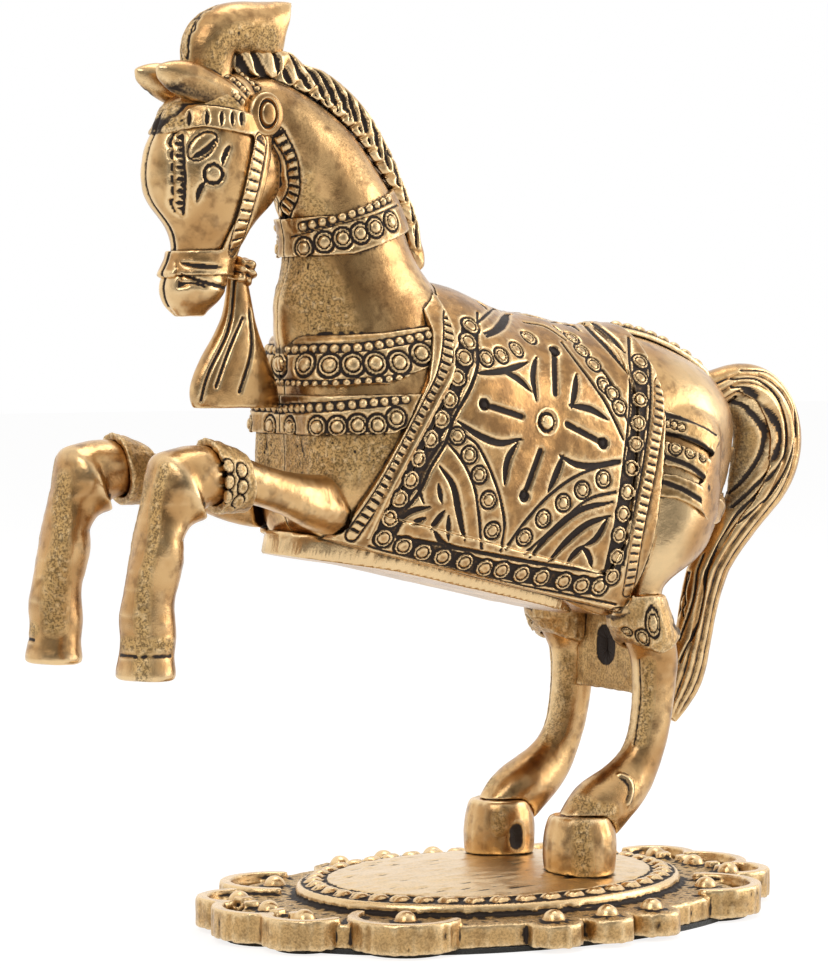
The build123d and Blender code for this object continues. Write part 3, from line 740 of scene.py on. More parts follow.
CLOTH = [
    # Arcs round the corner fields
    ("groove", [
        [(450, 428), (474, 441), (490, 468), (501, 500), (505, 527), (501, 551)],
        [(447, 441), (461, 458), (474, 484), (479, 511), (482, 549)],
        [(506, 549), (528, 519), (554, 492), (581, 474), (621, 462)],
        [(525, 554), (544, 538), (568, 516), (592, 498), (616, 492)],
        [(554, 326), (581, 348), (608, 377), (628, 420)],
        [(562, 342), (586, 374), (605, 401), (624, 439)],
    ], 0.75, 0.36),
    # Leaves between the petals, and stripes in the corners
    ("leaf", [
        [(537, 357), (534, 372), (537, 400)],
        [(501, 369), (517, 377), (532, 391)],
        [(477, 373), (506, 370), (528, 362)],
        [(577, 374), (576, 388), (572, 408)],
        [(570, 405), (592, 409), (608, 419)],
        [(564, 455), (557, 474), (549, 492)],
        [(560, 455), (576, 464), (597, 466), (621, 460)],
        [(518, 443), (509, 458), (505, 484)],
        [(458, 421), (479, 435), (501, 443), (522, 439)],
        [(440, 466), (453, 484), (459, 511), (465, 541)],
        [(530, 558), (554, 531), (581, 510), (613, 502)],
        [(549, 562), (568, 541), (589, 524), (611, 516)],
        [(584, 324), (608, 348), (629, 374)],
    ], 1.5, 0.42),
    # The trefoil in the front corner, and small leaves in the rear one
    ("leaf", [
        [(444, 441), (431, 458), (420, 490), (424, 503)],
        [(430, 507), (407, 514), (396, 534)],
        [(431, 530), (438, 520), (445, 511)],
        [(434, 529), (442, 543), (466, 551)],
        [(568, 562), (578, 551), (585, 546)],
        [(582, 547), (589, 554), (592, 567)],
        [(585, 546), (594, 541), (608, 519)],
    ], 1.3),
    # The field's upper edge
    ("groove", [
        [(485, 333), (501, 325), (511, 308)],
        [(478, 322), (490, 311), (497, 301)],
        [(524, 322), (545, 326), (566, 340)],
        [(478, 312), (478, 336), (477, 362)],
    ], 0.7, 0.36),
    ("leaf", [
        [(487, 336), (501, 326), (510, 308)],
        [(521, 306), (532, 311), (545, 319)],
        [(470, 296), (479, 301), (487, 309)],
        [(592, 322), (610, 336), (625, 352)],
        [(551, 316), (566, 321), (580, 331)],
    ], 2.0, 0.42),
    ("leaf", [[(439, 484), (442, 503)], [(412, 524), (426, 518)], [(449, 516), (449, 541)]], 1.1, 0.36),
    # Studs along the arcs
    ("studs", [
        (458, 436), (470, 455), (480, 475), (489, 500), (493, 531), (525, 538), (544, 519), (564, 503), (583, 490),
        (604, 479), (572, 337), (582, 350), (594, 364), (605, 385), (613, 393), (620, 407), (487, 358), (502, 355),
        (517, 349), (529, 337),
    ], 1.25),
    (flower,),
    # Front border: the field's edge and a row of studs
    ("groove", [
        (477, 337), (479, 361), (471, 388), (455, 417), (447, 441), (431, 468), (420, 492), (404, 514), (396, 535),
    ], 0.9, 0.42),
    ("stud_row", [
        (471, 325), (469, 341), (465, 357), (458, 377), (450, 399), (442, 419), (431, 439), (420, 459), (411, 480),
        (400, 499), (391, 519), (384, 539),
    ], 1.45),
    # Hem
    ("groove", [(398, 538), (469, 551), (544, 565), (611, 574)], 1.0, 0.42),
    ("stud_row", [
        (404, 547), (423, 553), (443, 558), (465, 563), (485, 569), (502, 571), (522, 575), (542, 578), (564, 582),
        (582, 586), (600, 587),
    ], 1.45),
    # Rear border
    ("groove", [(629, 337), (631, 391), (625, 458), (616, 524), (605, 575)], 0.7, 0.4),
    ("stud_row", [
        (641, 361), (641, 377), (641, 399), (639, 423), (636, 444), (632, 468), (628, 492), (624, 514), (620, 535),
        (617, 557), (613, 577),
    ], 1.35),
    ("groove", [(649, 340), (651, 404), (645, 458), (635, 511), (624, 565)], 0.7, 0.4),
    ("roughen", 3.0, 0.05, 11),
    ("roughen", 0.7, 0.02, 12),
]

# The border carries the cloth's pattern on, with ladders and a rope along its outer edges
BORDER = CLOTH + [
    ("ladder", [
        (444, 294), (449, 312), (450, 337), (443, 377), (428, 407), (407, 447), (380, 495), (352, 536),
    ], 2.1, 1.45),
    ("ridge", [
        (455, 286), (462, 310), (463, 332), (454, 369), (436, 404), (415, 444), (390, 492), (368, 538),
    ], 0.7, 0.2),
    ("groove", [(369, 547), (420, 562), (501, 582), (568, 595), (616, 605)], 0.6),
    ("ladder", [(366, 552), (420, 567), (501, 587), (554, 600), (619, 612)], 1.6, 1.5),
    ("ladder", [(659, 348), (660, 404), (652, 463), (640, 524), (629, 591)], 2.4, 1.4, 0.2),
    ("roughen", 0.8, 0.03, 21),
]

# Domed studs between two rows of beads
UPPER_COLLAR = [
    ("beads", [(272, 350), (321, 348), (358, 347), (397, 341), (440, 332)], 0.75, 1.9),
    ("studs", [(280, 364), (304, 364), (329, 365), (353, 364), (376, 363), (400, 362), (422, 353)], 1.75, 0.45),
    ("beads", [(272, 383), (314, 384), (369, 381), (425, 375)], 0.6, 1.8),
    ("roughen", 0.8, 0.05, 31),
    ("coat", 0.35),
]

# A row of beads over a row of studs
LOWER_COLLAR = [
    ("beads", [(272, 409), (325, 407), (369, 403), (406, 399)], 0.7, 1.9),
    ("studs", [(289, 427), (316, 427), (337, 427), (358, 425), (378, 425), (397, 418)], 1.5, 0.4),
    ("roughen", 0.8, 0.05, 41),
    ("coat", 0.35),
]

# Beads over ringed studs, with a line between
NECK_COLLAR = [
    ("beads", [(302, 227), (326, 221), (350, 214), (371, 207), (389, 198)], 0.7, 1.7),
    ("groove", [(291, 237), (314, 231), (352, 221), (383, 212), (398, 205)], 0.5, 0.25),
    ("studs", [(303, 248), (324, 242), (343, 238), (361, 233), (376, 227), (392, 221)], 1.45, 0.3),
    ("roughen", 0.8, 0.05, 51),
    ("coat", 0.25),
]

# The seam down the face, from the brow to the muzzle, ahead of the jaw's end
FACE_SEAM_TOP = (150, 112)
FACE_SEAM_LOW = (178, 306)
JAW_END = (236, 200)
SEAM_HALF = 0.45
SEAM_DEPTH = 0.3
SEAM_SOOT = 0.8


def face_seam(shape):
    """Cuts the seam down the face."""
    x, y, z = shape.points.T
    ahead = (x < plane_point(JAW_END)[0]) * between(z, plane_point(FACE_SEAM_LOW)[2], plane_point(FACE_SEAM_TOP)[2])
    seam = ahead * soft(1.4 - np.abs(y) / SEAM_HALF) * shape.facing((-1, 0, 0), 0.3, 0.6)
    shape.height -= SEAM_DEPTH * seam
    shape.soot += SEAM_SOOT * seam


TOOTH_LINE = [(182, 135), (184, 160), (185, 185), (183, 214)]
TOOTH_STEP = 6.0
TOOTH_REACH = 8.0


def brow_teeth(shape):
    """Cuts the brow line with its long and short teeth."""
    shape.groove(TOOTH_LINE, 0.7)
    marks = np.arange(TOOTH_STEP / 2, runs_of(TOOTH_LINE)[-1], TOOTH_STEP)
    for index, (x, y) in enumerate(places(TOOTH_LINE, marks)):
        shape.leaf([(x - TOOTH_REACH * (0.6 + 0.4 * (index % 2)), y - 1), (x + 1, y)], 1.0, 0.35)


# The forehead and the muzzle are filled out
HEAD = [
    ("swell", [(146, 152), (144, 168), (150, 190)], 8.0, 0.9),
    ("swell", [(170, 285), (172, 300)], 5.0, 0.6),
    (face_seam,),
]
POLL_EDGE = [(160, 125), (166, 112), (180, 108), (205, 107), (232, 104)]
NOSE_FOLDS = [[(181, 263), (200, 266), (221, 267)], [(181, 274), (204, 282), (229, 289)]]
BROW_GRAIN = [(152, 124), (168, 124), (184, 124)]
BROW_NOTCHES = [(189, 118), (207, 118), (222, 118), (233, 118), (242, 118)]
NOTCH_REACH = 7
STRAP_LINES = [
    [(667, 415), (695, 422), (720, 434)],
    [(664, 433), (695, 441), (722, 456)],
    [(661, 455), (690, 466), (715, 482)],
    [(656, 479), (685, 490), (711, 502)],
    [(719, 457), (722, 474), (721, 490)],
]

# The back of the rump and the thigh are drawn in, with all that lies on them
TUCK = ("push", [(738, 470), (730, 508), (708, 546), (690, 570), (676, 594)], 13.0, (-2.9, 0, 0.3))

BODY = HEAD + [
    TUCK,
    # Crown, jaw and throat follow the photograph's outline
    ("swell", [(160, 100), (172, 103)], 5.0, 1.3),
    ("push", [(270, 160), (270, 190)], 6.0, (1.6, 0, 0)),
    ("push", [(280, 308), (279, 328)], 8.0, (-2.2, 0, 0)),
    # Eye, its tails, its lid and the lid's fold
    ("discs", [(214, 174)], 1.2, 1.9, 0.1),
    ("leaf", [[(223, 165), (225, 155), (231, 145)], [(205, 182), (200, 189), (197, 201)]], 1.1),
    ("groove", [(188, 157), (188, 148), (213, 132), (218, 137), (216, 145), (193, 160), (188, 157)], 0.5, 0.28),
    ("leaf", [(192, 158), (206, 150), (216, 139)], 1.3),
    (brow_teeth,),
    # Poll: its dark edge and the headpiece's beads
    ("add_tarnish_and_shade", POLL_EDGE, 2.0, 0.25),
    ("patch", POLL_EDGE, 2.4),
    ("beads", [
        [(216, 78), (232, 91), (243, 102)],
        [(222, 71), (238, 83), (249, 94)],
        [(230, 65), (246, 77), (257, 88)],
    ], 0.55, 1.25, 0.3, 0.25),
    # Throat strap
    ("ladder", [(277, 135), (286, 156), (291, 179), (288, 200), (282, 215)], 2.6, 1.5),
    ("leaf", NOSE_FOLDS, 0.9, 0.25),
    # Mouth
    ("groove", [(181, 284), (194, 283), (206, 287)], 0.6, 0.3),
    # As cast: the neck's foot, the throat and the shoulder
    ("patch", [(300, 270), (320, 300), (330, 330)], 7.0),
    ("patch", [(301, 178), (303, 200), (318, 212)], 3.2, 0.8),
    ("patch", [(300, 450), (340, 450), (380, 440)], 9.0),
    # Painted dark reflections down the neck
    ("add_tarnish_and_shade", [
        [(318, 108), (345, 138), (362, 172)],
        [(296, 100), (302, 130), (306, 160)],
        [(372, 262), (382, 285), (396, 312)],
    ], 4.6, 0.36),
    # Painted reflections: the thigh and the rump painted brighter
    ("add_burnish_and_sheen", [(690, 495), (676, 525), (668, 560)], 8.0, 1.0),
    ("add_burnish_and_sheen", [(690, 372), (712, 398)], 8.0, 0.7),
    ("add_tarnish_and_shade", STRAP_LINES, 0.9, 0.7),
    ("roughen", 6.0, 0.12, 61),
    ("stipple", 0.7, 0.12, 62),
    ("roughen", 1.2, 0.02, 63),
]

BRIDLE = HEAD + [
    # The brow band's front
    ("push", [(150, 116), (150, 132)], 4.0, (1.0, 0, 0)),
    ("patch", BROW_GRAIN, 2.2),
    ("add_tarnish_and_shade", BROW_GRAIN, 2.0, 0.2),
    ("stipple", 0.9, 0.25, 72),
    # The cheek strap's notches and the brow band's petals
    ("ladder", [(262, 142), (251, 194), (236, 248)], 3.0, 1.65, 0.25, 0.3),
    ("leaf", [[(x, y - NOTCH_REACH), (x, y + NOTCH_REACH)] for x, y in BROW_NOTCHES], 0.9),
    ("leaf", NOSE_FOLDS, 1.1, 0.3),
    ("roughen", 1.0, 0.05, 71),
]

PLUME_DROP = 1.3
PLUME_SHADE = [(213, 66), (221, 50), (233, 39), (252, 36), (274, 36)]


def drop_plume(shape):
    """Draws the forelock's underside down."""
    shape.shift[:, 2] = -PLUME_DROP * shape.facing((0, 0, -1), 0.2, 0.8)


PLUME = [
    (drop_plume,),
    # Its end
    ("push", [(289, 8), (288, 26)], 4.0, (-0.9, 0, 0)),
    # Its strands' parting
    ("groove", [[(177, 65), (181, 36), (191, 14), (207, 4)], [(187, 59), (189, 36), (199, 14), (215, 5)]], 0.6, 0.3),
    # Its front, as cast
    ("patch", [(184, 58), (187, 32), (200, 12)], 2.2, 0.8),
    ("patch", PLUME_SHADE, 3.0),
    # Painted shade along its underside
    ("add_tarnish_and_shade", PLUME_SHADE, 2.8, 0.35),
    ("stipple", 0.8, 0.10, 91),
    ("roughen", 1.2, 0.03, 92),
]

EAR_LIFT = 1.6
EAR_DROP = 1.5
EAR_ROOT_DROP = 0.9
EAR_ROOT_BACK = 1.2
EAR_SHADE = [(170, 90), (196, 88), (220, 92)]


def shape_ear(shape):
    """Lifts the ear's tip, widens the ear downwards, cuts a hollow along its lower edge and paints shade into that
    hollow and onto its underside.
    """
    run = shape.points[:, 0].max() - shape.points[:, 0]
    share = run / run.max()
    down = shape.facing((0, 0, -1), 0.0, 0.7)
    lift = EAR_LIFT * share ** 1.5 - EAR_DROP * down * (0.6 + 0.4 * (1 - share))
    shape.shift[:, 2] = lift - EAR_ROOT_DROP * (1 - share) ** 2
    shape.shift[:, 0] = EAR_ROOT_BACK * (1 - share) ** 2
    shape.leaf(EAR_SHADE, 2.4, 0.12)
    # Painted shade in the hollow along the lower edge, and on the down-facing underside
    shape.add_tarnish_and_shade(EAR_SHADE, 1.6, 0.3)
    shape.soot += 0.3 * down


MANE_FRONT = [(238, 56), (262, 54), (285, 58)]
MANE_CREST = [(322, 80), (350, 102), (372, 130), (388, 160), (400, 192), (410, 222)]


def lift_mane(shape):
    """Swells the mane under the forelock and lifts its crest."""
    outer = shape.facing((0.3, 0, 1), -0.6, 0.5)
    shape.push(MANE_FRONT, 5.0, (0.3, 0, 1.8), outer)
    shape.push(MANE_FRONT, 5.0, (0.0, 0, -1.2), 1 - outer)
    shape.push(MANE_CREST, 5.0, (0.9, 0, 0.7))


MANE = [
    (lift_mane,),
    # Partings of the long locks
    ("leaf", [
        [(231, 57), (248, 70), (266, 85)],
        [(246, 57), (262, 70), (280, 88)],
        [(262, 52), (282, 72), (302, 93)],
        [(278, 50), (298, 73), (317, 99)],
        [(294, 55), (312, 78), (328, 108)],
        [(308, 63), (322, 84), (337, 113)],
        [(324, 75), (336, 95), (349, 121)],
        [(340, 88), (350, 110), (360, 133)],
        [(353, 101), (361, 122), (370, 147)],
        [(366, 117), (373, 138), (380, 161)],
        [(377, 132), (382, 152), (388, 174)],
        [(387, 148), (391, 168), (396, 192)],
        [(396, 165), (400, 188), (405, 212)],
        [(404, 185), (408, 210), (413, 238)],
        [(412, 208), (415, 230), (419, 254)],
    ], 1.1, 0.6),
    ("roughen", 0.6, 0.05, 95, 1.0, (1, 2, 2)),
    ("roughen", 1.5, 0.05, 96),
]

# How far the low end of the tail moves, by its row in the photograph
TAIL_FIT = [(500, 0.0), (540, -1.2), (570, -2.2), (650, -2.2), (700, -1.2), (725, 0.0)]
TAIL_COLUMN = 700
TAIL_BEND = [(741, 400), (750, 420), (753, 445), (747, 475), (738, 500)]


def fit_tail(shape):
    """Draws the low end of the tail in, and its bend's inner face towards the rump."""
    rows, moves = np.array(TAIL_FIT)[::-1].T
    heights = [plane_point((TAIL_COLUMN, row))[2] for row in rows]
    shape.shift[:, 0] = np.interp(shape.points[:, 2], heights, moves)
    shape.push(TAIL_BEND, 7.5, (-4.1, 0, -0.9), shape.facing((-0.9, 0, -0.4), 0.1, 0.8))


TAIL = [
    (fit_tail,),
    # Long strands
    ("groove", [
        [(741, 370), (768, 372), (792, 399), (796, 431), (790, 460), (770, 495), (743, 522)],
        [(731, 379), (756, 379), (778, 397), (786, 424), (785, 453), (765, 485), (738, 517), (724, 546), (715, 578)],
        [(731, 387), (751, 389), (770, 404), (780, 426), (778, 455), (758, 485), (734, 509)],
        [(734, 397), (753, 401), (768, 419), (768, 448), (753, 477), (731, 497)],
        [(709, 517), (713, 541), (707, 571), (704, 595), (689, 639)],
        [(697, 546), (699, 571), (692, 595), (682, 627)],
        [(716, 571), (713, 600), (707, 625), (689, 661)],
    ], 0.6, 0.34),
    # The inner bend: as cast, with painted shade on its inner face
    ("patch", [(742, 410), (752, 445), (742, 485)], 3.2),
    ("add_tarnish_and_shade", TAIL_BEND, 3.8, 0.5),
    ("stipple", 0.8, 0.08, 98),
    ("roughen", 1.2, 0.03, 99),
]

TASSEL_LIFT = 2.2
TASSEL_TOP = 5.0


def lift_tassel(shape):
    """Brings the tassel's top up to the knot."""
    z = shape.points[:, 2]
    shape.shift[:, 2] = TASSEL_LIFT * soft((z - z.max() + TASSEL_TOP) / TASSEL_TOP)


# The folds that run down the tassel
TASSEL = [(lift_tassel,), ("groove", [
    [(235, 287), (228, 329), (205, 383), (201, 400)],
    [(243, 318), (232, 343), (216, 387)],
    [(250, 312), (252, 350), (240, 392)],
], 0.7)] + CAST_SKIN

# How far the lower foreleg's front and its back move, by their row in the photograph
FORELEG_FIT = [
    (470, -0.6, -0.6), (488, -0.9, -1.5), (504, -1.0, -1.9), (520, -0.8, -1.2), (531, -0.5, -1.4), (542, -0.3, -2.1),
    (556, -0.5, -1.9), (572, -1.1, -1.2), (590, -1.4, -0.2), (616, -1.3, 0.0), (640, -0.6, 0.1), (660, -0.4, 0.0),
    (676, 0.0, 0.0),
]
FORELEG_COLUMN = 150
FORELEG_SLAB = 1.0
FORELEG_BACK = (191, 536)


def straighten(shape):
    """Straightens the lower foreleg: moves its front and its back, by the height on the photograph."""
    x, _, z = shape.points.T
    rows = np.array(FORELEG_FIT)[::-1]
    heights = [pin((FORELEG_COLUMN, row))[2] for row in rows[:, 0]]
    slab = np.floor((z - z.min()) / FORELEG_SLAB).astype(int)
    front = np.full(slab.max() + 1, np.inf)
    back = np.full(slab.max() + 1, -np.inf)
    np.minimum.at(front, slab, x)
    np.maximum.at(back, slab, x)
    place = z.min() + (np.arange(slab.max() + 1) + 0.5) * FORELEG_SLAB
    front = np.interp(z, place, front)
    back = np.minimum(np.interp(z, place, back), pin(FORELEG_BACK)[0])
    share = np.clip((x - front) / (back - front), 0, 1)
    shape.shift[:, 0] = (1 - share) * np.interp(z, heights, rows[:, 1]) + share * np.interp(z, heights, rows[:, 2])


FETLOCK_LINE = [(122, 655), (147, 657), (172, 656)]

FORELEG = [
    (straighten,),
    ("groove", FETLOCK_LINE, 0.8, 0.12),
    ("add_tarnish_and_shade", FETLOCK_LINE, 0.8, 0.25),
    # As cast: strips down the leg, over the fetlock and down the hoof, and on the far leg
    ("patch", [(167, 468), (160, 520), (152, 575), (146, 632)], 1.6),
    ("patch", [(122, 644), (147, 645), (172, 645)], 1.7),
    ("patch", [(144, 658), (142, 680)], 2.0),
    ("far",),
    ("patch", [(67, 482), (64, 550), (57, 624)], 2.8),
    ("stipple", 0.7, 0.08, 111),
] + CAST_SKIN

KNEELET_NARROWING = 0.2


def narrow(shape):
    """Narrows the knee band from behind."""
    x = shape.points[:, 0]
    shape.shift[:, 0] = -KNEELET_NARROWING * (x - x.min())


# Studs in a dark ground
KNEELET = [
    (narrow,),
    ("discs", [(231, 466), (232, 482), (228, 497), (248, 470), (249, 487), (244, 502)], 1.1, 1.6, 0.2),
    ("roughen", 0.9, 0.14, 115),
    ("coat", 0.7, 0.1),
]

HIND_LEG = [
    TUCK,
    # The line down the shank
    ("groove", [(639, 660), (640, 700), (634, 745)], 0.6, 0.18),
    # The spur over the heel and the hollow before it
    ("add_tarnish_and_shade", [(622, 784), (614, 797), (605, 808)], 1.6, 0.28),
    ("ridge", [(620, 775), (629, 780), (632, 790), (628, 804)], 1.1, 0.4),
    # The shank's bright front
    ("add_burnish_and_sheen", [(634, 665), (633, 700), (624, 742)], 2.0, 0.5),
    # As cast: the shank, the heel, and the far shank
    ("patch", [(648, 665), (646, 700), (640, 740)], 1.9),
    ("patch", [(578, 800), (592, 810), (610, 812)], 2.4),
    ("far",),
    ("patch", [(566, 660), (565, 690), (550, 735)], 2.6, 0.8),
    ("stipple", 0.7, 0.08, 121),
] + CAST_SKIN

HOCK_RISE = 2.4
HOCK_POINT = 1.8
HOCK_SIDES = 4.0


def point_hock_band(shape):
    """Raises the hock band's upper edge and draws its lower edge to a point in the middle."""
    x, _, z = shape.points.T
    middle = (z.min() + z.max()) / 2
    low = np.clip((middle - z) / (middle - z.min()), 0, 1)
    high = np.clip((z - middle) / (z.max() - middle), 0, 1)
    aside = np.abs(2 * (x - x.min()) / (x.max() - x.min()) - 1)
    shape.shift[:, 2] += low * (HOCK_SIDES * aside ** 1.5 - HOCK_POINT) + HOCK_RISE * high


# Rings of three sizes in a dark ground
HOCK_BAND = [
    TUCK,
    (point_hock_band,),
    ("studs", [(658, 626)], 1.35, 0.3, 0.15, 0.4),
    ("studs", [(644, 637)], 1.15, 0.3, 0.15, 0.4),
    ("studs", [(627, 634)], 0.9, 0.3, 0.15, 0.4),
    ("roughen", 0.8, 0.12, 125),
    ("coat", 0.6),
]

BRIDGE_SLOT_HALF = 2.5
BRIDGE_SLOT_RUN = 0.9
BRIDGE_HALF_DEPTH = 1.2


def close_slot(shape):
    """Closes the bridge's slot to a recess painted dark as painted shade, and leaves its faces as cast."""
    x, y, z = shape.points.T
    depth = np.abs(x - (x.min() + x.max()) / 2)
    past = np.maximum(np.abs(z - (z.min() + z.max()) / 2) - BRIDGE_SLOT_RUN, 0)
    reach = np.hypot(y, past)
    wall = (reach < BRIDGE_SLOT_HALF + 0.35) * (np.abs(shape.normals[:, 0]) < 0.6)
    shape.height += BRIDGE_SLOT_HALF * wall * soft((BRIDGE_HALF_DEPTH - 0.2 - depth) / 0.4)
    # Painted shade fills the closed slot; the whole bridge is a little darker
    shape.coat(0.7, 1.0 * (reach < BRIDGE_SLOT_HALF + 0.1) + 0.1)
    shape.roughen(1.6, 0.2, 145, ~wall)


FAR_HOOF_PIT = [(517, 832), (517, 842)]

HOOF = [
    # The light line of the coronet
    ("groove", [(573, 812), (594, 817), (615, 812)], 0.8, 0.14),
    # As cast: a strip down each hoof
    ("patch", [(582, 820), (583, 868)], 2.4),
    ("far",),
    ("patch", [(500, 816), (500, 828)], 2.0, 0.8),
    # A pit in the far hoof
    ("swell", FAR_HOOF_PIT, 2.2, -0.5),
    ("add_tarnish_and_shade", FAR_HOOF_PIT, 2.0, 0.35),
    ("patch", FAR_HOOF_PIT, 2.2),
    ("stipple", 0.7, 0.08, 131),
    # The walls, filed upright
    ("roughen", 0.8, 0.05, 132, 1.0, (1, 1, 8)),
] + CAST_SKIN

BREECHING = [
    TUCK,
    # The straps' ends sink into the rump
    ("push", [(738, 448), (738, 470), (730, 498)], 7.0, (-5.0, 0, 0)),
    ("groove", STRAP_LINES, 0.8, 0.3),
    ("add_tarnish_and_shade", STRAP_LINES, 0.9, 0.7),
    # Rings and small ovals
    ("studs", [(676, 448)], 1.05, 0.2, 0.15, 0.4),
    ("studs", [(706, 456), (691, 452)], 0.9, 0.2, 0.15, 0.4),
    ("studs", [(664, 469), (671, 471), (679, 473), (668, 423), (675, 425), (682, 427)], 0.65, 0.2, 0.0, 0.35),
    ("roughen", 0.9, 0.06, 135),
    ("coat", 0.25),
]

CRUPPER_BEAD = 1.25
CRUPPER_PITCH = 2.5
ABOVE_ALL = 300.0


def crest(x):
    """Gives the point on the horse's back line above a place."""
    return np.array(near_side.ray_cast(Vector((x, -0.01, ABOVE_ALL)), Vector((0, 0, -1)))[0])


def bead_crupper(shape):
    """Sets a row of beads along the crupper."""
    low, high = shape.points[:, 0].min(), shape.points[:, 0].max()
    for x in np.arange(low + CRUPPER_BEAD, high, CRUPPER_PITCH):
        shape.bead(crest(x), CRUPPER_BEAD, 1.0, 0.0)


CRUPPER = [(bead_crupper,), ("roughen", 0.9, 0.05, 138), ("coat", 0.0, 0.2)]

BELLY_FILL = 2.0
BELLY_FORWARD = 5.5
BELLY_STRETCH = 14.0


def fill_belly(shape):
    """Fills the underside out, draws its front end forwards and rubs it bright."""
    x = shape.points[:, 0]
    down = shape.facing((0, 0, -1), 0.2, 0.7)
    ahead = np.clip(1 - (x - x.min()) / BELLY_STRETCH, 0, 1)
    shape.shift[:, 2] = -BELLY_FILL * down
    shape.shift[:, 0] = -BELLY_FILL * 0.3 * down - BELLY_FORWARD * ahead
    shape.burnish_and_sheen += 0.3


# Filed lengthwise
BELLY = [(fill_belly,), ("roughen", 0.7, 0.07, 141, 1.0, (12, 1, 1))]

# The base's raised oval, in millimetres, with a ring of leaves at shares of its reach, and the skirt round it
PLATFORM_LONG = 35.0
PLATFORM_CROSS = 27.0
FIELD_END = 0.86
BASE_LEAVES = 44
LEAF_IN = 0.84
LEAF_RING = 0.905
LEAF_OUT = 0.975
LEAF_WIDE = 1.75
LEAF_LONG = 13.0
LEAF_CUT = 0.25
VEIN_CUT = 0.2
SKIRT_TOP = 4.6
RIM_LOW = 5.3
RIM_CUT = 0.22
RIM_CUT_HEIGHT = 4.95

# Darkening, grain and painted sheen of the base's parts; the painted sheen brightens the upward faces as a painted
# reflection
UNDER_RIM_DARKENING = 0.12
GULLY_DARKENING = 0.08
SKIRT_TOP_DARKENING = 0.1
BLOTCH_SOOT = 0.35
BLOTCH_SIZE = 2.6
FIELD_GRAIN = 0.25
WALL_GRAIN = 0.45
FIELD_PAINTED_SHEEN = 0.75
UPPER_PAINTED_SHEEN = 0.35


def base_relief(shape):
    """Stipples the domed field, cuts the leaves apart, hollows the band under the rim and files the skirt's wall;
    darkens the band under the rim, the gully, the skirt's top and blotches on the wall, and paints the upward faces
    brighter as a painted reflection.
    """
    x, y, z = shape.points.T
    reach = np.hypot(x / PLATFORM_LONG, y / PLATFORM_CROSS)
    up = shape.facing((0, 0, 1), 0.70, 0.95)
    side = shape.facing((0, 0, 1), 0.55, 0.10)
    oval = z > SKIRT_TOP + 0.15
    field = up * oval * soft((FIELD_END - reach) / 0.03)
    turn = np.arctan2(y / PLATFORM_CROSS, x / PLATFORM_LONG) / (2 * math.pi) * BASE_LEAVES
    across = (turn - np.round(turn)) * LEAF_WIDE
    along = reach - LEAF_RING
    leaf_edge = np.hypot(across, along * LEAF_LONG)
    vein = soft(1 - np.abs(across + along * 6) / 0.12) * (leaf_edge < 0.6)
    in_ring = oval * up * between(reach, LEAF_IN, LEAF_OUT)
    shape.height -= in_ring * LEAF_CUT * soft((leaf_edge - 0.62) / 0.2)
    shape.height += in_ring * LEAF_CUT * soft((0.70 - leaf_edge) / 0.35)
    shape.height -= in_ring * VEIN_CUT * vein
    under_rim = side * between(z, SKIRT_TOP, RIM_LOW + 0.2) * between(reach, 0.9, 1.08)
    shape.height -= RIM_CUT * under_rim * soft(1 - np.abs(z - RIM_CUT_HEIGHT) / 0.65)
    gully = up * (z < SKIRT_TOP + 0.6) * soft((1.30 - reach) / 0.2) * (reach > 0.95)
    skirt_top = up * (z < SKIRT_TOP + 0.35) * (reach > 0.97)
    blotch = soft(0.5 + lumps(shape.points, BLOTCH_SIZE, 154)) * side * (z < SKIRT_TOP + 0.2)
    # Darker under the rim, in the gully, on the skirt's top and in blotches on the walls
    shape.soot += UNDER_RIM_DARKENING * under_rim + GULLY_DARKENING * gully + SKIRT_TOP_DARKENING * skirt_top + BLOTCH_SOOT * blotch
    shape.grain += np.clip(FIELD_GRAIN * field + under_rim + skirt_top + WALL_GRAIN * side, 0, 1)
    # Painted reflection: the field and the other upward faces are painted brighter
    shape.burnish_and_sheen += FIELD_PAINTED_SHEEN * field + UPPER_PAINTED_SHEEN * up * (z > SKIRT_TOP + 0.6)
    shape.roughen(1.1, 0.16, 150, field, (2.2, 1, 1))
    shape.roughen(0.9, 0.12, 151, np.clip(shape.grain - field, 0, 1))
    shape.roughen(0.9, 0.16, 152, side * (z < SKIRT_TOP + 1.2), (1, 1, 9))
    shape.roughen(6.0, 0.06, 153)


LOBE_PIXEL = (266, 114)
LOBE_Y = -6.6
LOBE_RADIUS = 3.1
LOBE_STRETCH = 1.15
LOBE_DEPTH = 1.6
LOBE_RINGS = 30
LOBE_TURNS = 96


def lobe_height(reach, turn):
    """Gives the height of the bridle's lobe: a rounded rim, a sunk ring and an oval boss."""
    boss = np.hypot(reach * np.cos(turn) / 0.42, reach * np.sin(turn) / 0.52)
    height = 0.9 * np.sqrt(np.clip(1 - reach ** 4, 0, 1))
    height -= 0.5 * soft(1 - np.abs(boss - 1.15) / 0.3)
    return height + 0.35 * np.sqrt(np.clip(1 - boss ** 2, 0, 1))


def finish_piece(name, mesh):
    """Gives an added casting its finish, its place in the scene and its body."""
    points = mesh_points(mesh) / MM
    hollow = ((smoothed(points, mesh_edges(mesh), 6, 0.7) - points) * normals_of(mesh)).sum(1)
    store(mesh, "tarnish_and_shade", soft((hollow - 0.01) / 0.08))
    store(mesh, "edge", soft((-hollow - EDGE_FROM) / HOLLOW_SPAN))
    store(mesh, "grain", np.zeros(len(points)))
    settle(add_object(name, mesh), gold)


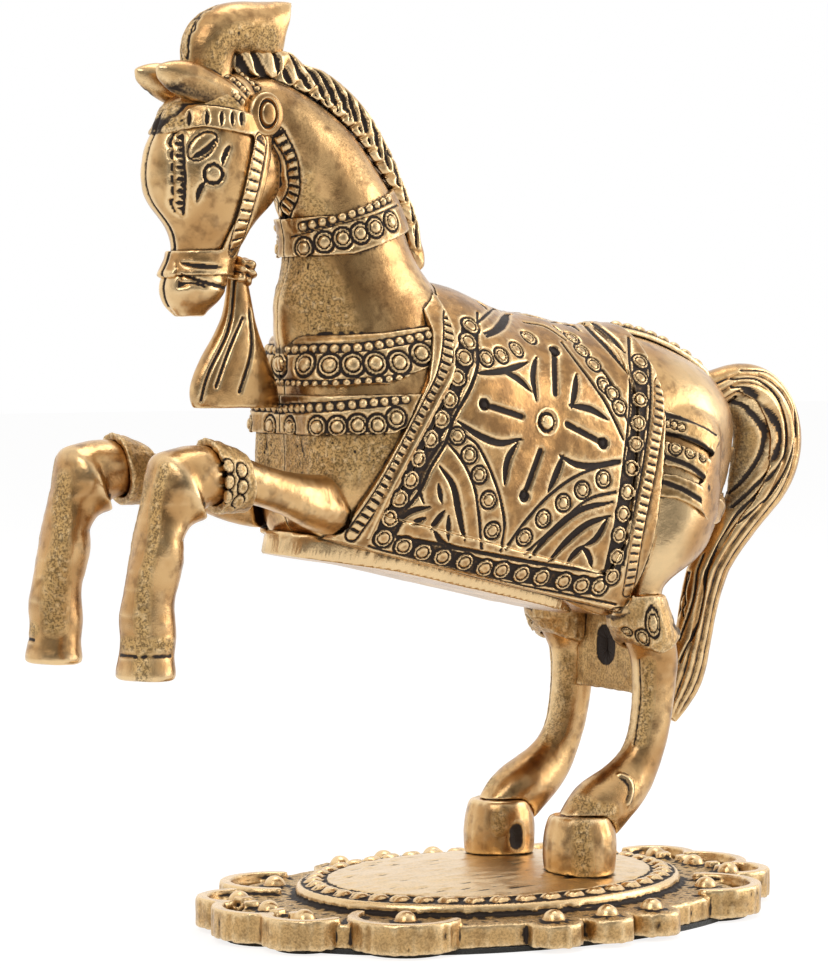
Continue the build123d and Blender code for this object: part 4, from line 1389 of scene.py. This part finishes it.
def make_lobe(side):
    """Makes the rounded lobe that joins the browband to the throat strap, with its oval boss."""
    centre = plane_point(LOBE_PIXEL, LOBE_Y)
    turns = np.arange(LOBE_TURNS) * 2 * math.pi / LOBE_TURNS
    rings = []
    for ring in range(LOBE_RINGS + 1):
        reach = np.full(LOBE_TURNS, ring / LOBE_RINGS)
        rings.append(np.stack([
            centre[0] + LOBE_RADIUS * reach * np.cos(turns),
            centre[1] - lobe_height(reach, turns),
            centre[2] + LOBE_RADIUS * LOBE_STRETCH * reach * np.sin(turns),
        ], 1))
    rings.append(rings[-1] + [0, LOBE_DEPTH, 0])
    rings.append(np.repeat([centre + [0, LOBE_DEPTH, 0]], LOBE_TURNS, 0))
    points = np.vstack(rings) * [1, -1 if side == "right" else 1, 1]
    faces = []
    for first in range(0, (len(rings) - 1) * LOBE_TURNS, LOBE_TURNS):
        for step in range(LOBE_TURNS):
            after = (step + 1) % LOBE_TURNS
            face = (first + step, first + after, first + LOBE_TURNS + after, first + LOBE_TURNS + step)
            faces.append(face[::-1] if side == "right" else face)
    mesh = bpy.data.meshes.new(f"bridle_lobe_{side}")
    mesh.from_pydata((points * MM).tolist(), [], faces)
    solid = bmesh.new()
    solid.from_mesh(mesh)
    bmesh.ops.remove_doubles(solid, verts=solid.verts, dist=0.00001)
    bmesh.ops.recalc_face_normals(solid, faces=solid.faces)
    solid.to_mesh(mesh)
    solid.free()
    finish_piece(mesh.name, mesh)


KNOT_PIXEL = (240, 271)
KNOT_SIZE = (2.3, 3.4, 2.7)
KNOT_FOLDS = 3


def make_knot():
    """Makes the noseband's knot behind the chin, which the tassel hangs from."""
    solid = bmesh.new()
    bmesh.ops.create_icosphere(solid, subdivisions=5, radius=1.0)
    mesh = bpy.data.meshes.new("noseband_knot")
    solid.to_mesh(mesh)
    solid.free()
    points = mesh_points(mesh)
    x, _, z = points.T
    fold = np.cos((z + 0.35 * x) * math.pi * KNOT_FOLDS) * 0.09
    pinch = 1 - 0.18 * np.exp(-(x / 0.3) ** 2)
    shaped = points * (1 + fold)[:, None] * np.stack([np.ones(len(x)), pinch, pinch], 1)
    write_points(mesh, (plane_point(KNOT_PIXEL) + shaped * KNOT_SIZE) * MM)
    finish_piece("noseband_knot", mesh)


# Every metal node or pair of nodes, its fineness, its steps and what else its casting takes
CASTINGS = [
    ("body_half", MEDIUM, BODY, {"share": 0.5}),
    ("saddle_cloth", FINE, CLOTH, {"share": 0.5, "material": dress_gold}),
    ("cloth_border", FINE, BORDER, {"share": 0.5, "material": dress_gold}),
    ("upper_breast_collar", FINE, UPPER_COLLAR, {"material": dress_gold}),
    ("lower_breast_collar", FINE, LOWER_COLLAR, {"material": dress_gold}),
    ("neck_collar", FINE, NECK_COLLAR, {"material": dress_gold}),
    ("bridle", FINE, BRIDLE, {}),
    ("kneelet", FINE, KNEELET, {}),
    ("hock_band", FINE, HOCK_BAND, {}),
    ("breeching", FINE, BREECHING, {}),
    ("ear", FINE, [(shape_ear,)] + CAST_SKIN, {}),
    ("foreleg", MEDIUM, FORELEG, {"relax": 22}),
    ("hind_leg", MEDIUM, HIND_LEG, {"relax": 8}),
    ("hind_hoof", MEDIUM, HOOF, {"relax": 8}),
    ("mane", FINE, MANE, {"relax": 35}),
    ("forelock_plume", FINE, PLUME, {}),
    ("tail", FINE, TAIL, {}),
    ("chin_tassel", FINE, TASSEL, {}),
    ("crupper", FINE, CRUPPER, {}),
    ("hock_bridge", FINE, [(close_slot,)], {}),
    ("belly_plate", MEDIUM, BELLY, {}),
    ("base", MEDIUM, [(base_relief,)], {"share": 0.5, "material": base_gold_with_painted_sheen, "slot": "cast_base"}),
]


def dress_node(node, material):
    """Gives a CAD node that stays its own material."""
    if not nodes[node].material_slots:
        nodes[node].data.materials.append(material)
    for mesh_slot in nodes[node].material_slots:
        mesh_slot.material = material


# The floor is part lit and part glowing to the eye, so that it reads white and keeps the shadow
FLOOR_HALF = 3.0
FLOOR_GLOW = 1.35
FLOOR_GLOW_SHARE = 0.6

# Strength of the surroundings: seen directly, as light, and in reflections from the dim and the bright side
SKY_SEEN = 1.0
SKY_LIGHT = 0.5
SKY_DIM = 0.25
SKY_BRIGHT = 1.2
DIM_SIDE = (-0.50, -0.86, 0.05)
DIM_BAND = (0.20, 0.95)


def make_stage():
    """Lays a wide pale floor that keeps the shadow."""
    mesh = bpy.data.meshes.new("floor")
    corners = [(x * FLOOR_HALF, y * FLOOR_HALF, 0) for x, y in ((-1, -1), (1, -1), (1, 1), (-1, 1))]
    mesh.from_pydata(corners, [], [(0, 1, 2, 3)])
    floor = add_object("floor", mesh)
    shader = Shader(bpy.data.materials.new("floor"))
    shader.tree.nodes.remove(shader.surface)
    rays = shader.add("LightPath").node.outputs
    seen = shader.math("MAXIMUM", rays["Is Camera Ray"], rays["Is Glossy Ray"])
    share = shader.math("MULTIPLY", seen, FLOOR_GLOW_SHARE)
    lit = shader.add("BsdfDiffuse", {"Color": FLOOR_PALE})
    glow = shader.add("Emission", {"Color": WHITE, "Strength": FLOOR_GLOW})
    mixed = shader.add("MixShader", {0: share, 1: lit, 2: glow})
    shader.feed(shader.tree.nodes["Material Output"], {"Surface": mixed})
    mesh.materials.append(shader.owner)


def make_world():
    """Makes the surroundings white to the eye, softer as light, and shaded from one side in reflections."""
    world = bpy.data.worlds.new("studio")
    bpy.context.scene.world = world
    shader = Shader(world)
    rays = shader.add("LightPath").node.outputs
    facing = shader.add("VectorMath", {0: shader.add("TexCoord"), 1: DIM_SIDE}, operation="DOT_PRODUCT")
    shade = shader.band(facing.node.outputs["Value"], DIM_BAND, (SKY_BRIGHT, SKY_DIM))
    strength = SKY_LIGHT
    for ray, value in (("Glossy", shade), ("Transmission", SKY_SEEN), ("Camera", SKY_SEEN)):
        strength = shader.add("Mix", {0: rays[f"Is {ray} Ray"], 2: strength, 3: value})
    shader.feed(shader.tree.nodes["Background"], {"Color": WHITE, "Strength": strength})


# Soft square lamps: name, place and size in metres, and power in watts
LAMPS = [
    ("key", (-0.50, -0.35, 0.60), 0.35, 1.5),
    ("fill", (0.65, -0.30, 0.25), 0.45, 2.0),
    ("top", (0.15, 0.10, 0.80), 0.35, 1.2),
]


def hang_lamp(name, place, size, power):
    """Hangs a lamp that faces the horse."""
    data = bpy.data.lights.new(name, "AREA")
    data.size = size
    data.energy = power
    lamp = add_object(name, data)
    lamp.location = place
    lamp.rotation_euler = (Vector(TARGET * MM) - Vector(place)).to_track_quat("-Z", "Y").to_euler()


def make_camera():
    """Stands the camera where the photograph was taken from."""
    data = bpy.data.cameras.new("camera")
    data.sensor_fit = "VERTICAL"
    data.sensor_height = SENSOR
    data.lens = PIXELS_PER_MM * VIEW_DISTANCE / PHOTO_HEIGHT * SENSOR
    camera = add_object("camera", data)
    camera.location = EYE * MM
    camera.rotation_euler = Vector(-BACK).to_track_quat("-Z", "Y").to_euler()
    bpy.context.scene.camera = camera


for name, voxel, steps, settings in CASTINGS:
    for node in [name] if name in nodes else [f"{name}_{side}" for side in SIDES]:
        cast(node, voxel, steps, **settings)
for side in SIDES:
    make_lobe(side)
make_knot()
dress_node("felt_pad", felt_material())
dress_node("hoof_screws", steel_material())
make_stage()
make_world()
for lamp_settings in LAMPS:
    hang_lamp(*lamp_settings)
make_camera()
bpy.context.scene.view_settings.view_transform = "Standard"
